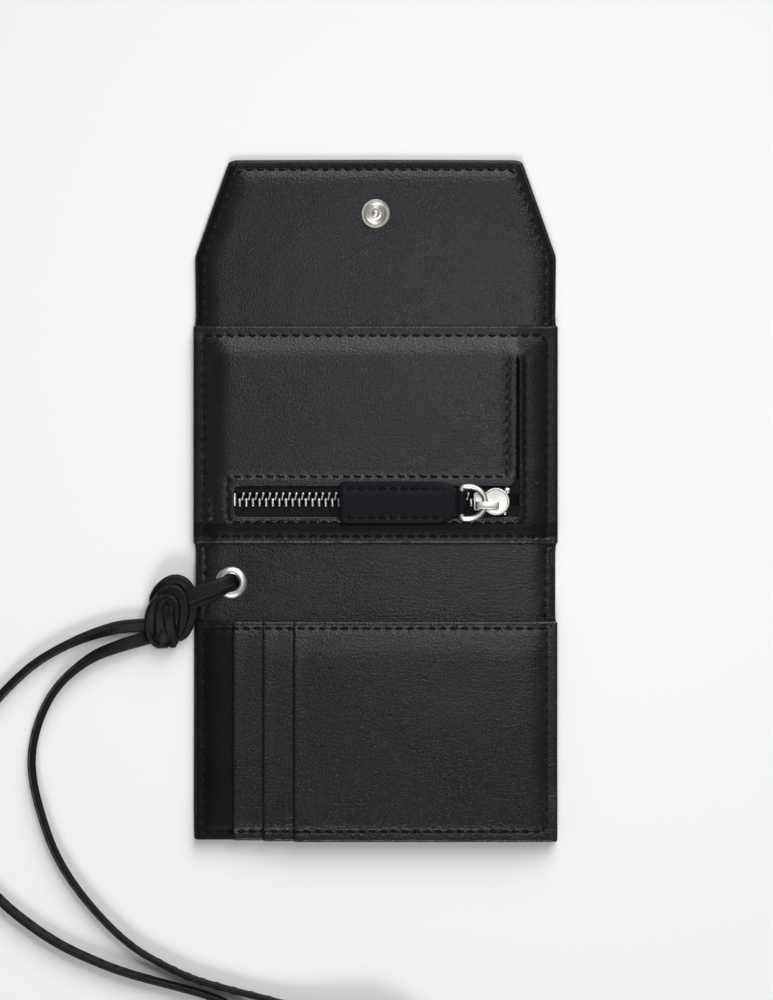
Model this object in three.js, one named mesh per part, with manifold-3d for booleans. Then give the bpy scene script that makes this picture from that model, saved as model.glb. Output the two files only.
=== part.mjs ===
// A tri-fold neck pouch wallet, open and lying on a table with its lining up. From the far end:
// a snap flap, a zip pocket panel, a narrow spine with an eyelet, and a card panel. A flat leather
// cord is knotted through the eyelet. Millimetres: X across, Y from the card panel to the flap,
// Z up from the table. The origin is under the middle of the open wallet.
import * as THREE from 'three';
import { mergeVertices } from 'three/addons/utils/BufferGeometryUtils.js';
import Module from 'manifold-3d';

const wasm = await Module();
wasm.setup();

// ---------------------------------------------------------------- driving dimensions

const halfWidth = 51.3;
const halfLength = 96.5;
const spineMiddle = -23.5;
const spineWidth = 12;
const flapFold = 50.3; // the crease at the far edge of the zip panel
const flapSpineWidth = 16.4; // runs over the closed wallet's edge
const flapShoulder = 69.3; // where the flap starts to narrow
const flapTipHalfWidth = 41.2;
const foldGap = 0.3; // between the two sides of a crease
const layerGap = 0.1; // between leather layers that touch
const cornerRadius = 1.2;

const leatherThickness = 1.1;
const liningThickness = 0.7;
const leatherBottom = 1.8; // the wallet lies on its snap, so its leather is clear of the table
const leatherTop = leatherBottom + leatherThickness;
const liningBottom = leatherTop + layerGap;
const liningTop = liningBottom + liningThickness; // every fold turns about this height

const zipFold = spineMiddle + spineWidth / 2;
const cardFold = spineMiddle - spineWidth / 2;
const flapOuterFold = flapFold + flapSpineWidth;

// Zip pocket
const facing = { near: -12.6, far: 49.3, rim: 4.2, rimTop: 4.9, bottom: 6.0, top: 7.0 };
const zipWindow = { left: -39.6, right: 40.4, near: -4.7, far: 4.4, radius: 1.5 };
const pocketSlit = { x: 40.0, width: 0.8, end: 39.9 };
const zipMiddle = 0;
const teeth = { left: -38.7, right: 33.0, pitch: 1.87, width: 0.62, root: 2.0, tip: -0.35 };
const teethHeights = [5.0, 6.4];
const tape = { edge: 2.1, outer: 7.3, left: -42.5, right: 43.5, heights: [5.5, 5.9] };
const bottomStop = { left: -40.6, right: -39.4, half: 1.9 };
const topStop = { left: 36.5, right: 38.0, half: 0.9, far: 3.1, near: -3.6 };
const pocketLining = { inset: 3.2, thickness: 0.3 };

// Slider, with its crown towards +X where the zip ends
const slider = { crown: 34.0, crownRadius: 3.9, back: 27.7, middle: -0.45, halfWidth: 2.75 };
const sliderPlates = { lower: [4.3, 4.9], upper: [6.5, 7.1] };
const bridge = { back: 28.3, front: 34.8, width: 2.1, middle: -1.5, under: 9.75, top: 10.4 };

// Ring and tab that pull the slider
const ring = { bar: 24.3, bow: 31.0, middle: -0.85, halfHeight: 4.55, wire: 0.8, height: 8.45 };
const tab = { left: -10.3, right: 25.4, waist: 17.5, near: -6.8, far: 5.1, neckHalf: 3.3 };
const tabHeights = [7.35, 9.35];

// Card panel: each pocket is open along its left edge
const cardPanel = { near: -halfLength, far: -34.4, corner: 1.0 };
const slotEdges = [-40.5, -32.0, -23.3];
const slotBase = { bottom: liningTop + layerGap, thickness: 0.5 };
const slotThickness = 0.7;

// Snap: cap and socket in the flap, stud and post in the card panel
const snapY = 81.0;
const cap = { radius: 4.75, edge: 0.9, top: leatherBottom - layerGap, barrel: 1.3, head: 1.6 };
const socket = { radius: 4.1, bore: 2.0, height: 1.7, floor: 0.35 };
const stud = { flange: 3.4, flangeThickness: 0.25, radius: 1.7, tip: 0.15, bore: 1.25 };
const post = { flange: 3.2, flangeThickness: 0.25, shank: 1.0 };
// The stud meets the socket once the flap is folded over the closed wallet
const studY = cardFold - (flapFold - zipFold - (snapY - flapOuterFold));

// Eyelet in the spine
const eyelet = { x: -40.9, y: spineMiddle, bore: 2.4, barrel: 2.75, flange: 4.55, lip: 0.7 };
const washer = { bottom: 1.2, top: 1.7, inner: 2.85, outer: 4.4 };

// Neck cord: a flat stitched strap that stands on its edge where it curves
const strap = { width: 4.0, thickness: 2.0 };
const strapHeight = 2.1;
const knot = { x: -58.6, y: -31.8, along: 9.8, across: 6.0, height: 3.8, turn: 75 };
const coil = { x: -5, y: -172.5, inner: 17.6, outer: 27.1, bottom: 0.8, top: 8.8 };
const tie = { turn: -45, width: 5, thickness: 0.5, room: 0.3 };
const cordGap = 0.3;

const outerStrand = [
  [-60, -34.6], [-66, -35.4], [-72.9, -35.6], [-81.2, -38.3], [-89.5, -42], [-97.8, -47.3],
  [-106.1, -55.3], [-113.5, -64.5], [-118.4, -75], [-119.6, -86], [-117.8, -96.5], [-113, -106],
  [-106.1, -114], [-97.8, -120.8], [-89.5, -126.2], [-81.2, -130.2], [-72.9, -133.5],
  [-64.6, -136], [-56.3, -138.2], [-48, -140.6], [-41.5, -143.4], [-36.2, -148.2],
  [-32.8, -155], [-31.2, -163.5], [-30.7, -172.5],
];
const innerStrand = [
  [-60, -36.5], [-64.6, -38.6], [-72.9, -40.5], [-81.2, -44.7], [-89.5, -52.2], [-94.5, -60.4],
  [-97.2, -69.6], [-97.4, -77.9], [-95.3, -87.8], [-91.2, -99.5], [-85.4, -109.4],
  [-77.1, -119.4], [-68.8, -126.9], [-60.4, -131.9], [-52.2, -135.7], [-43.9, -138.3],
  [-34, -140.9], [-24.5, -143.3, 3.0], [-15, -145.6, 4.9], [-5, -146.8, 6.4],
];
const underLoop = [[-39.4, -23.0], [-46, -25.2], [-54.5, -28.4]];
const overLoop = [[-40.9, -23.4], [-46, -24.9], [-54.5, -28.2]];

// ---------------------------------------------------------------- materials

const finish = (name, color, roughness, metalness) =>
  new THREE.MeshStandardMaterial({ name, color, roughness, metalness });
const outerLeather = finish('outer_leather', 0x18181a, 0.45, 0);
const liningLeather = finish('lining_leather', 0x1d1d1f, 0.5, 0);
const cordLeather = finish('cord_leather', 0x131316, 0.42, 0);
const nickel = finish('nickel', 0xd2cec6, 0.25, 1);
const zipMetal = finish('zip_metal', 0xd8d8d6, 0.3, 1);
const textile = finish('textile', 0x121214, 0.85, 0);

// ---------------------------------------------------------------- geometry helpers

function toSolid(geometry) {
  const bare = geometry.clone();
  bare.deleteAttribute('normal');
  bare.deleteAttribute('uv');
  const merged = mergeVertices(bare, 1e-5);
  const mesh = new wasm.Mesh({
    numProp: 3,
    vertProperties: new Float32Array(merged.attributes.position.array),
    triVerts: new Uint32Array(merged.index.array),
  });
  return new wasm.Manifold(mesh);
}

function toGeometry(solid) {
  const mesh = solid.getMesh();
  const geometry = new THREE.BufferGeometry();
  geometry.setAttribute('position', new THREE.BufferAttribute(mesh.vertProperties, 3));
  geometry.setIndex(new THREE.BufferAttribute(mesh.triVerts, 1));
  geometry.computeVertexNormals();
  return geometry;
}

function cut(geometry, ...tools) {
  const solid = tools.reduce((left, tool) => left.subtract(toSolid(tool)), toSolid(geometry));
  return toGeometry(solid);
}

function join(geometry, ...others) {
  const solid = others.reduce((sum, other) => sum.add(toSolid(other)), toSolid(geometry));
  return toGeometry(solid);
}

function add(parent, name, geometry, material) {
  const mesh = new THREE.Mesh(geometry, material);
  mesh.name = name;
  parent.add(mesh);
}

// A rectangle whose four corners are rounded by radii listed from the near left, anticlockwise
function rectangle(left, near, right, far, radii = [0, 0, 0, 0]) {
  const [a, b, c, d] = radii;
  const shape = new THREE.Shape();
  shape.moveTo(left + a, near);
  shape.lineTo(right - b, near);
  if (b) shape.absarc(right - b, near + b, b, -Math.PI / 2, 0);
  shape.lineTo(right, far - c);
  if (c) shape.absarc(right - c, far - c, c, 0, Math.PI / 2);
  shape.lineTo(left + d, far);
  if (d) shape.absarc(left + d, far - d, d, Math.PI / 2, Math.PI);
  shape.lineTo(left, near + a);
  if (a) shape.absarc(left + a, near + a, a, Math.PI, Math.PI * 1.5);
  return shape;
}

function slab(shape, bottom, top, curveSegments = 5) {
  const options = { depth: top - bottom, bevelEnabled: false, curveSegments };
  return new THREE.ExtrudeGeometry(shape, options).translate(0, 0, bottom);
}

function block(left, near, bottom, right, far, top) {
  return slab(rectangle(left, near, right, far), bottom, top);
}

// A turned part standing on Z: profile points are [radius, height], closed on themselves or the axis
function turned(profile, x, y, segments = 32) {
  const points = profile.map(([radius, height]) => new THREE.Vector2(radius, height));
  return new THREE.LatheGeometry(points, segments).rotateX(Math.PI / 2).translate(x, y, 0);
}

function drill(x, y, radius, bottom, top) {
  return turned([[0, bottom], [radius, bottom], [radius, top], [0, top]], x, y);
}

// A strap swept along a route: height is its size along Z, thickness its size across the route
function sweep(route, height, thickness, steps) {
  const corner = 0.3;
  const [h, t] = [height / 2, thickness / 2];
  const section = new THREE.Shape([
    [h, t * corner], [h * (1 - corner), t], [h * (corner - 1), t], [-h, t * corner],
    [-h, -t * corner], [h * (corner - 1), -t], [h * (1 - corner), -t], [h, -t * corner],
  ].map(([x, y]) => new THREE.Vector2(x, y)));
  const path = new THREE.CatmullRomCurve3(route.map((point) => new THREE.Vector3(...point)));
  return new THREE.ExtrudeGeometry(section, { steps, extrudePath: path, bevelEnabled: false });
}

const atHeight = (route, height) => route.map(([x, y, z = height]) => [x, y, z]);

// ---------------------------------------------------------------- leather panels

function flapOutline(near, inset) {
  const side = halfWidth - 0.5 - inset;
  const tip = flapTipHalfWidth - inset;
  const far = halfLength - inset;
  const round = 2.5;
  const shape = new THREE.Shape();
  shape.moveTo(-side, near);
  shape.lineTo(side, near);
  shape.lineTo(side, flapShoulder - inset / 2);
  shape.lineTo(tip + round * 0.35, far - round);
  shape.quadraticCurveTo(tip, far, tip - round, far);
  shape.lineTo(round - tip, far);
  shape.quadraticCurveTo(-tip, far, -tip - round * 0.35, far - round);
  shape.lineTo(-side, flapShoulder - inset / 2);
  shape.closePath();
  return shape;
}

// One stretch of the leather back and the lining above it, between two creases or edges
function addLayers(parent, name, outline, liningOutline, holes = []) {
  const leather = slab(outline, leatherBottom, leatherTop);
  const lining = slab(liningOutline, liningBottom, liningTop);
  const tools = holes.map(([x, y, radius]) => drill(x, y, radius, 0, liningTop + 1));
  add(parent, `${name}_leather`, cut(leather, ...tools), outerLeather);
  add(parent, `${name}_lining`, cut(lining, ...tools), liningLeather);
}

function addStretch(parent, name, near, far, radii, holes) {
  const outline = (inset) => rectangle(inset - halfWidth, near, halfWidth - inset, far, radii);
  addLayers(parent, name, outline(0), outline(0.5), holes);
}

// ---------------------------------------------------------------- spine, eyelet and cord

const knotSolid = (grow) =>
  new THREE.SphereGeometry(1, 20, 12)
    .rotateX(Math.PI / 2)
    .scale(knot.along + grow, knot.across + grow, knot.height - 0.05 + grow)
    .rotateZ(THREE.MathUtils.degToRad(knot.turn))
    .translate(knot.x, knot.y, knot.height);

const coilSolid = (grow) => {
  const [r0, r1] = [coil.inner - grow, coil.outer + grow];
  const [z0, z1] = [coil.bottom - grow, coil.top + grow];
  return turned([[r0, z0], [r1, z0], [r1, z1], [r0, z1], [r0, z0]], coil.x, coil.y, 48);
};

function eyeletGeometry() {
  const [seat, top] = [liningTop + layerGap, liningTop + layerGap + eyelet.lip];
  const profile = [
    [eyelet.bore, washer.bottom], [eyelet.barrel, washer.bottom], [eyelet.barrel, seat],
    [eyelet.flange, seat], [eyelet.flange - 0.3, seat + eyelet.lip * 0.6],
    [(eyelet.flange + eyelet.barrel) / 2, top], [eyelet.barrel, top - 0.1],
    [eyelet.bore, seat], [eyelet.bore, washer.bottom],
  ];
  return turned(profile, eyelet.x, eyelet.y);
}

function washerGeometry() {
  const { inner, outer, bottom, top } = washer;
  const profile = [[inner, bottom], [outer, bottom], [outer, top], [inner, top], [inner, bottom]];
  return turned(profile, eyelet.x, eyelet.y);
}

// The strap's leg over the lining turns down through the eyelet
function overLoopGeometry() {
  const height = liningTop + layerGap + eyelet.lip + cordGap + strap.thickness / 2;
  const leg = sweep(atHeight(overLoop, height), strap.thickness, strap.width, 6);
  const drop = block(
    eyelet.x - strap.thickness / 2, eyelet.y - strap.width / 2, washer.top,
    eyelet.x + strap.thickness / 2, eyelet.y + strap.width / 2, height + strap.thickness / 2,
  );
  return cut(join(leg, drop), knotSolid(cordGap));
}

function underLoopGeometry() {
  const room = washer.bottom - 2 * layerGap;
  const leg = sweep(atHeight(underLoop, layerGap + room / 2), room, strap.width, 4);
  return cut(leg, knotSolid(cordGap));
}

function strandGeometry(route, steps) {
  const strand = sweep(atHeight(route, strapHeight), strap.width, strap.thickness, steps);
  return cut(strand, knotSolid(cordGap), coilSolid(cordGap));
}

function tieGeometry() {
  const inside = [coil.inner - tie.room, coil.outer + tie.room];
  const heights = [coil.bottom - tie.room + 0.1, coil.top + tie.room];
  const half = tie.width / 2;
  const wrap = block(
    inside[0] - tie.thickness, -half, heights[0] - tie.thickness,
    inside[1] + tie.thickness, half, heights[1] + tie.thickness,
  );
  const gap = block(inside[0], -half - 1, heights[0], inside[1], half + 1, heights[1]);
  return cut(wrap, gap).rotateZ(THREE.MathUtils.degToRad(tie.turn)).translate(coil.x, coil.y, 0);
}

function buildSpine() {
  const spine = new THREE.Group();
  const hole = [eyelet.x, eyelet.y, washer.inner];
  addStretch(spine, 'spine', cardFold + foldGap / 2, zipFold - foldGap / 2, undefined, [hole]);
  add(spine, 'eyelet', eyeletGeometry(), nickel);
  add(spine, 'eyelet_washer', washerGeometry(), nickel);
  add(spine, 'cord_loop_over', overLoopGeometry(), cordLeather);
  add(spine, 'cord_loop_under', underLoopGeometry(), cordLeather);
  add(spine, 'cord_knot', knotSolid(0), cordLeather);
  add(spine, 'cord_outer_strand', strandGeometry(outerStrand, 40), cordLeather);
  add(spine, 'cord_inner_strand', strandGeometry(innerStrand, 36), cordLeather);
  add(spine, 'cord_coil', coilSolid(0), cordLeather);
  add(spine, 'cord_tie', tieGeometry(), cordLeather);
  return spine;
}

// ---------------------------------------------------------------- zip pocket panel

// A raised panel sewn down round its rim, hollow behind, with an L-shaped opening
function facingGeometry() {
  const { near, far, rim, rimTop, bottom, top } = facing;
  const seat = liningTop + layerGap;
  const inset = (by, r) =>
    rectangle(by - halfWidth, near + by, halfWidth - by, far - by, [r, r, r, r]);
  const raised = join(slab(inset(0, cornerRadius), seat, rimTop), slab(inset(rim, 2), seat, top));
  const { left, right, radius } = zipWindow;
  const opening = rectangle(left, zipWindow.near, right, zipWindow.far, [radius, radius, 0, radius]);
  const { x, width, end } = pocketSlit;
  return cut(
    raised,
    slab(inset(rim + 0.8, 1.5), seat - 1, bottom),
    slab(opening, seat - 1, top + 1),
    block(x - width / 2, 0, seat - 1, x + width / 2, end, top + 1),
  );
}

// A comb: a bead along the tape's edge with evenly spaced teeth
function teethGeometry(side, shift) {
  const { left, right, pitch, width, root, tip } = teeth;
  const shape = new THREE.Shape();
  const beadInner = root - 0.3;
  const y = (value) => zipMiddle + side * value;
  shape.moveTo(left - 0.4, y(root));
  shape.lineTo(left - 0.4, y(beadInner));
  for (let x = left + shift; x + width < right; x += pitch) {
    shape.lineTo(x, y(beadInner));
    shape.lineTo(x, y(tip));
    shape.lineTo(x + width, y(tip));
    shape.lineTo(x + width, y(beadInner));
  }
  shape.lineTo(right, y(beadInner));
  shape.lineTo(right, y(root));
  shape.closePath();
  return slab(shape, ...teethHeights);
}

function tapeGeometry(side) {
  const ends = [zipMiddle + side * tape.edge, zipMiddle + side * tape.outer].sort((a, b) => a - b);
  return block(tape.left, ends[0], tape.heights[0], tape.right, ends[1], tape.heights[1]);
}

function pocketLiningGeometry() {
  const by = facing.rim + 1 + pocketLining.inset;
  const bottom = liningTop + layerGap;
  const outline = rectangle(by - halfWidth, facing.near + by, halfWidth - by, facing.far - by);
  return slab(outline, bottom, bottom + pocketLining.thickness);
}

function buildZipPanel() {
  const panel = new THREE.Group();
  addStretch(panel, 'zip_panel', zipFold + foldGap / 2, flapFold - foldGap / 2);
  add(panel, 'pocket_lining', pocketLiningGeometry(), textile);
  add(panel, 'pocket_facing', facingGeometry(), outerLeather);
  add(panel, 'zip_tape_far', tapeGeometry(1), textile);
  add(panel, 'zip_tape_near', tapeGeometry(-1), textile);
  add(panel, 'zip_teeth_far', teethGeometry(1, 0), zipMetal);
  add(panel, 'zip_teeth_near', teethGeometry(-1, teeth.pitch / 2), zipMetal);
  const [low, high] = teethHeights;
  const { left, right, half } = bottomStop;
  add(panel, 'zip_bottom_stop', block(left, -half, low, right, half, facing.bottom - layerGap), zipMetal);
  for (const side of ['far', 'near']) {
    const [near, far] = [topStop[side] - topStop.half, topStop[side] + topStop.half];
    const stop = block(topStop.left, near, tape.heights[1] + layerGap, topStop.right, far, high);
    add(panel, `zip_top_stop_${side}`, stop, zipMetal);
  }
  return panel;
}

// ---------------------------------------------------------------- slider, ring and tab

function sliderOutline() {
  const { crown, crownRadius, back, middle, halfWidth: half } = slider;
  const meet = Math.asin(half / crownRadius);
  const shape = new THREE.Shape();
  shape.moveTo(back, middle + half - 0.6);
  shape.lineTo(back, middle - half + 0.6);
  shape.lineTo(back + 0.6, middle - half);
  shape.absarc(crown, middle, crownRadius, Math.PI + meet, Math.PI * 3 - meet);
  shape.lineTo(back + 0.6, middle + half);
  shape.closePath();
  return shape;
}

// Two plates joined by the wedge that parts the teeth, with rails along the edges of both
function sliderGeometry() {
  const { lower, upper } = sliderPlates;
  const { back, crown, middle, halfWidth: half } = slider;
  const railThickness = 0.22;
  const wedge = block(crown + 1.2, middle - 0.9, lower[0], crown + 3.2, middle + 0.9, upper[1]);
  const rails = [-1, 1].flatMap((side) => {
    const edges = [middle + side * half, middle + side * (half - railThickness)].sort((a, b) => a - b);
    const rail = (bottom, top) => block(back + 0.6, edges[0], bottom, crown - 2, edges[1], top);
    return [rail(lower[1] - 0.1, tape.heights[0] - 0.15), rail(tape.heights[1] + 0.15, upper[0] + 0.1)];
  });
  return join(slab(sliderOutline(), ...lower, 16), slab(sliderOutline(), ...upper, 16), wedge, ...rails);
}

// A staple over the ring, standing on the slider's upper plate
function bridgeGeometry() {
  const { back, front, width, middle, under, top } = bridge;
  const foot = 1.0;
  const seat = sliderPlates.upper[1] + layerGap;
  const outline = new THREE.Shape([
    [back, seat], [back + foot, seat], [back + foot, under - 0.4], [back + foot + 0.5, under],
    [front - foot - 0.5, under], [front - foot, under - 0.4], [front - foot, seat], [front, seat],
    [front, top - 0.6], [front - 0.9, top], [back + 0.9, top], [back, top - 0.6],
  ].map(([x, z]) => new THREE.Vector2(x, z)));
  const options = { depth: width, bevelEnabled: false };
  return new THREE.ExtrudeGeometry(outline, options)
    .rotateX(Math.PI / 2)
    .translate(0, middle + width / 2, 0);
}

// A D of round wire: the straight side runs through the tab, the bow under the bridge
function ringGeometry() {
  const { bar, bow, middle, halfHeight, wire, height } = ring;
  const bevel = wire * 0.55;
  const corner = 0.4;
  const elbow = bar + 2.0; // where each arm starts to bow
  const outline = (grow) => {
    const shape = new THREE.Shape();
    const [x, half] = [bar - grow, halfHeight + grow];
    shape.moveTo(x, -half + corner);
    shape.quadraticCurveTo(x, -half, x + corner, -half);
    shape.absellipse(elbow, 0, bow - elbow + grow, half, -Math.PI / 2, Math.PI / 2);
    shape.lineTo(x + corner, half);
    shape.quadraticCurveTo(x, half, x, half - corner);
    shape.closePath();
    return shape;
  };
  const shape = outline(wire - bevel);
  shape.holes.push(new THREE.Path(outline(bevel - wire).getPoints(10).reverse()));
  const options = {
    depth: 2 * (wire - bevel), bevelThickness: bevel, bevelSize: bevel, bevelSegments: 2,
    curveSegments: 10,
  };
  return new THREE.ExtrudeGeometry(shape, options).translate(0, middle, height - (wire - bevel));
}

function tabOutline() {
  const { left, right, waist, near, far, neckHalf } = tab;
  const middle = (near + far) / 2;
  const round = 1.8;
  const shape = new THREE.Shape();
  shape.moveTo(left + round, near);
  shape.lineTo(waist, near);
  shape.quadraticCurveTo(waist + 3.5, near + 0.4, right - 1.8, middle - neckHalf);
  shape.lineTo(right, middle - neckHalf);
  shape.lineTo(right, middle + neckHalf);
  shape.lineTo(right - 1.8, middle + neckHalf);
  shape.quadraticCurveTo(waist + 3.5, far - 0.4, waist, far);
  shape.lineTo(left + round, far);
  shape.absarc(left + round, far - round, round, Math.PI / 2, Math.PI);
  shape.absarc(left + round, near + round, round, Math.PI, Math.PI * 1.5);
  return shape;
}

// A leather strip folded round the ring's straight side
function tabGeometry() {
  const middle = (tab.near + tab.far) / 2;
  const eye = new THREE.CylinderGeometry(1.45, 1.45, 2 * tab.neckHalf, 20)
    .translate(ring.bar, middle, ring.height);
  const bore = new THREE.CylinderGeometry(ring.wire + 0.15, ring.wire + 0.15, 20, 20)
    .translate(ring.bar, middle, ring.height);
  const clear = block(ring.bar + 0.6, -20, 0, tab.right + 1, 20, 20);
  const strip = cut(slab(tabOutline(), ...tabHeights), clear);
  return cut(join(strip, eye), bore);
}

function buildSlider() {
  const body = new THREE.Group();
  add(body, 'zip_slider', sliderGeometry(), nickel);
  add(body, 'slider_bridge', bridgeGeometry(), nickel);
  add(body, 'pull_ring', ringGeometry(), nickel);
  add(body, 'pull_tab', tabGeometry(), outerLeather);
  return body;
}

// ---------------------------------------------------------------- flap and snap

function capGeometry() {
  const profile = [
    [0, 0], [cap.radius * 0.6, 0.1], [cap.radius * 0.88, 0.45], [cap.radius, cap.edge],
    [cap.radius, cap.top - 0.2], [cap.radius - 0.3, cap.top], [cap.barrel, cap.top],
    [cap.barrel, liningTop + socket.floor + 2 * layerGap],
    [cap.head, liningTop + socket.floor + 2 * layerGap], [cap.head * 0.6, liningTop + 0.64],
    [0, liningTop + 0.66],
  ];
  return turned(profile, 0, snapY);
}

function socketGeometry() {
  const seat = liningTop + layerGap;
  const top = seat + socket.height;
  const floor = seat + socket.floor;
  const profile = [
    [cap.barrel + 0.15, seat], [socket.radius, seat], [socket.radius, seat + 0.3],
    [socket.radius - 0.3, seat + 0.6], [socket.radius - 0.6, seat + 0.6],
    [socket.radius - 0.75, top - 0.3], [socket.radius - 1.1, top], [socket.bore + 0.3, top],
    [socket.bore, top - 0.3], [socket.bore, floor], [cap.barrel + 0.15, floor],
    [cap.barrel + 0.15, seat],
  ];
  return turned(profile, 0, snapY);
}

function studGeometry() {
  const seat = leatherBottom - layerGap;
  const flange = seat - stud.flangeThickness;
  const profile = [
    [0, stud.tip], [stud.radius - 0.4, stud.tip], [stud.radius, stud.tip + 0.4],
    [stud.radius - 0.15, flange], [stud.flange, flange], [stud.flange, seat], [stud.bore, seat],
    [stud.bore, stud.tip + 0.4], [0, stud.tip + 0.4],
  ];
  return turned(profile, 0, studY);
}

function postGeometry() {
  const seat = liningTop + layerGap;
  const end = stud.tip + 0.6;
  const profile = [
    [0, end], [post.shank, end], [post.shank, seat], [post.flange, seat],
    [post.flange, seat + post.flangeThickness], [0, seat + post.flangeThickness],
  ];
  return turned(profile, 0, studY);
}

function buildFlapSpine() {
  const group = new THREE.Group();
  const near = flapFold + foldGap / 2;
  const far = flapOuterFold - foldGap / 2;
  const outline = (inset) => rectangle(inset + 0.5 - halfWidth, near, halfWidth - 0.5 - inset, far);
  addLayers(group, 'flap_spine', outline(0), outline(0.5));
  return group;
}

function buildFlap() {
  const group = new THREE.Group();
  const near = flapOuterFold + foldGap / 2;
  addLayers(group, 'flap', flapOutline(near, 0), flapOutline(near, 0.9), [[0, snapY, 1.45]]);
  add(group, 'snap_cap', capGeometry(), nickel);
  add(group, 'snap_socket', socketGeometry(), nickel);
  return group;
}

// ---------------------------------------------------------------- card panel

function buildCardPanel() {
  const group = new THREE.Group();
  const { near, far, corner } = cardPanel;
  const radii = [corner, corner, 0, 0];
  addStretch(group, 'card_panel', near, cardFold - foldGap / 2, radii, [[0, studY, post.shank + 0.1]]);
  const baseTop = slotBase.bottom + slotBase.thickness;
  const base = slab(rectangle(-halfWidth, near, halfWidth, far, radii), slotBase.bottom, baseTop);
  const recess = drill(0, studY, post.flange + 0.2, leatherBottom, baseTop + 1);
  add(group, 'card_slot_base', cut(base, recess), outerLeather);
  slotEdges.forEach((edge, index) => {
    const bottom = baseTop + layerGap + index * (slotThickness + layerGap);
    const outline = rectangle(edge, near, halfWidth, far, [0, corner, 0, 0]);
    add(group, `card_slot_${index + 1}`, slab(outline, bottom, bottom + slotThickness), outerLeather);
  });
  add(group, 'snap_stud', studGeometry(), nickel);
  add(group, 'snap_post', postGeometry(), nickel);
  return group;
}

// ---------------------------------------------------------------- whole wallet

const group = new THREE.Group();
group.add(buildSpine(), buildZipPanel(), buildSlider(), buildFlapSpine(), buildFlap(), buildCardPanel());

export default group;
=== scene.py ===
"""Neck pouch wallet, open with its lining up, on a pale floor, seen from straight above.
Lengths are in millimetres until a mesh is made; make() turns them into metres."""
import math

import bpy
import numpy as np
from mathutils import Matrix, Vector
from mathutils.geometry import delaunay_2d_cdt


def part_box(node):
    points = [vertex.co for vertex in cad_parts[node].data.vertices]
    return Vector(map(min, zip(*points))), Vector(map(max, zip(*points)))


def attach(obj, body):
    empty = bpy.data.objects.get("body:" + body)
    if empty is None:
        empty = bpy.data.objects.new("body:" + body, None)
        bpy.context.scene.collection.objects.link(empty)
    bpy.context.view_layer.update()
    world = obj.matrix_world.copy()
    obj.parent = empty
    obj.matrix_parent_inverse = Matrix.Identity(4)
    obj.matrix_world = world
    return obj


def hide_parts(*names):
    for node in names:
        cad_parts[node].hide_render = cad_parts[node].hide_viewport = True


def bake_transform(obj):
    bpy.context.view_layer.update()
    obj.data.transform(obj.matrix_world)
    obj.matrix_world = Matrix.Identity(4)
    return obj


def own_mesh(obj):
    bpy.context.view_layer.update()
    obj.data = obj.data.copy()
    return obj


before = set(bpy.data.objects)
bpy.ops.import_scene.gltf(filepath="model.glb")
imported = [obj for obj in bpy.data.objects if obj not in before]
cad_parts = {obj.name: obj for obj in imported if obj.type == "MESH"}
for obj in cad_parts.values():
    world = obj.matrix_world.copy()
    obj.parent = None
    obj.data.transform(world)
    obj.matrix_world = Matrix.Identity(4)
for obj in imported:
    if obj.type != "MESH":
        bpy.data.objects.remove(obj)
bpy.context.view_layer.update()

MM = 0.001


def span(node):
    """A CAD node's lowest and highest corners in millimetres."""
    low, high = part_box(node)
    return np.array(low) / MM, np.array(high) / MM


# ---------------------------------------------------------------- sizes, from the frame

EDGE_SPREAD = 0.35  # how far the soft leather spreads past the CAD panel at each side
HALF_WIDTH = span("zip_panel_leather")[1][0] + EDGE_SPREAD
HALF_LENGTH = span("flap_leather")[1][1]
LEATHER_BOTTOM, LEATHER_TOP = span("zip_panel_leather")[0][2], span("zip_panel_leather")[1][2]
LINING_BOTTOM, LINING_TOP = span("zip_panel_lining")[0][2], span("zip_panel_lining")[1][2]
FACING_NEAR, FACING_FAR = span("pocket_facing")[0][1], span("pocket_facing")[1][1]
FACING_TOP = span("pocket_facing")[1][2]
CARD_NEAR, CARD_FAR = span("card_slot_base")[0][1], span("card_slot_base")[1][1]

STITCH_INSET = 2.8
STITCH_PITCH = 3.1
THREAD = 0.31
HOLE_DEPTH, HOLE_REACH = 0.22, 0.45

EDGE_DROOP, DROOP_REACH = 1.15, 7.5
FLAP_ARCH = 0.35

WINDOW = {"left": -39.6, "right": 40.35, "near": -4.7, "far": 4.4}
SLIT = {"left": 39.7, "end": 39.9}
SLIT_LEFT = SLIT["left"] + 0.35  # the rolled lips narrow the opening here and at its far edge
LIP_FAR = WINDOW["far"] - 0.8
LIP_HEIGHT, BEVEL_SLOPE = 6.45, 0.4

# ---------------------------------------------------------------- camera, light, floor

VIEW_LONG_SIDE = 283.0
VIEW_CENTRE = (3.1, -0.1)
VIEW_LEVEL = 5.0
CAMERA_DISTANCE = 1150.0
SENSOR = 36.0
FLOOR_HALF = 3000.0


def make_camera():
    data = bpy.data.cameras.new("camera")
    data.sensor_width = SENSOR
    data.lens = SENSOR * CAMERA_DISTANCE / VIEW_LONG_SIDE
    data.clip_start = 0.01
    camera = bpy.data.objects.new("camera", data)
    camera.location = Vector((*VIEW_CENTRE, VIEW_LEVEL + CAMERA_DISTANCE)) * MM
    bpy.context.scene.collection.objects.link(camera)
    bpy.context.scene.camera = camera


def make_sun(name, lean, towards, spread, strength):
    """A broad soft light: lean is its angle from straight above, towards the compass side it stands on."""
    data = bpy.data.lights.new(name, "SUN")
    data.energy, data.angle = strength, math.radians(spread)
    light = bpy.data.objects.new(name, data)
    light.rotation_mode = "XYZ"
    light.rotation_euler = (0, math.radians(lean), math.radians(towards))
    bpy.context.scene.collection.objects.link(light)


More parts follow.
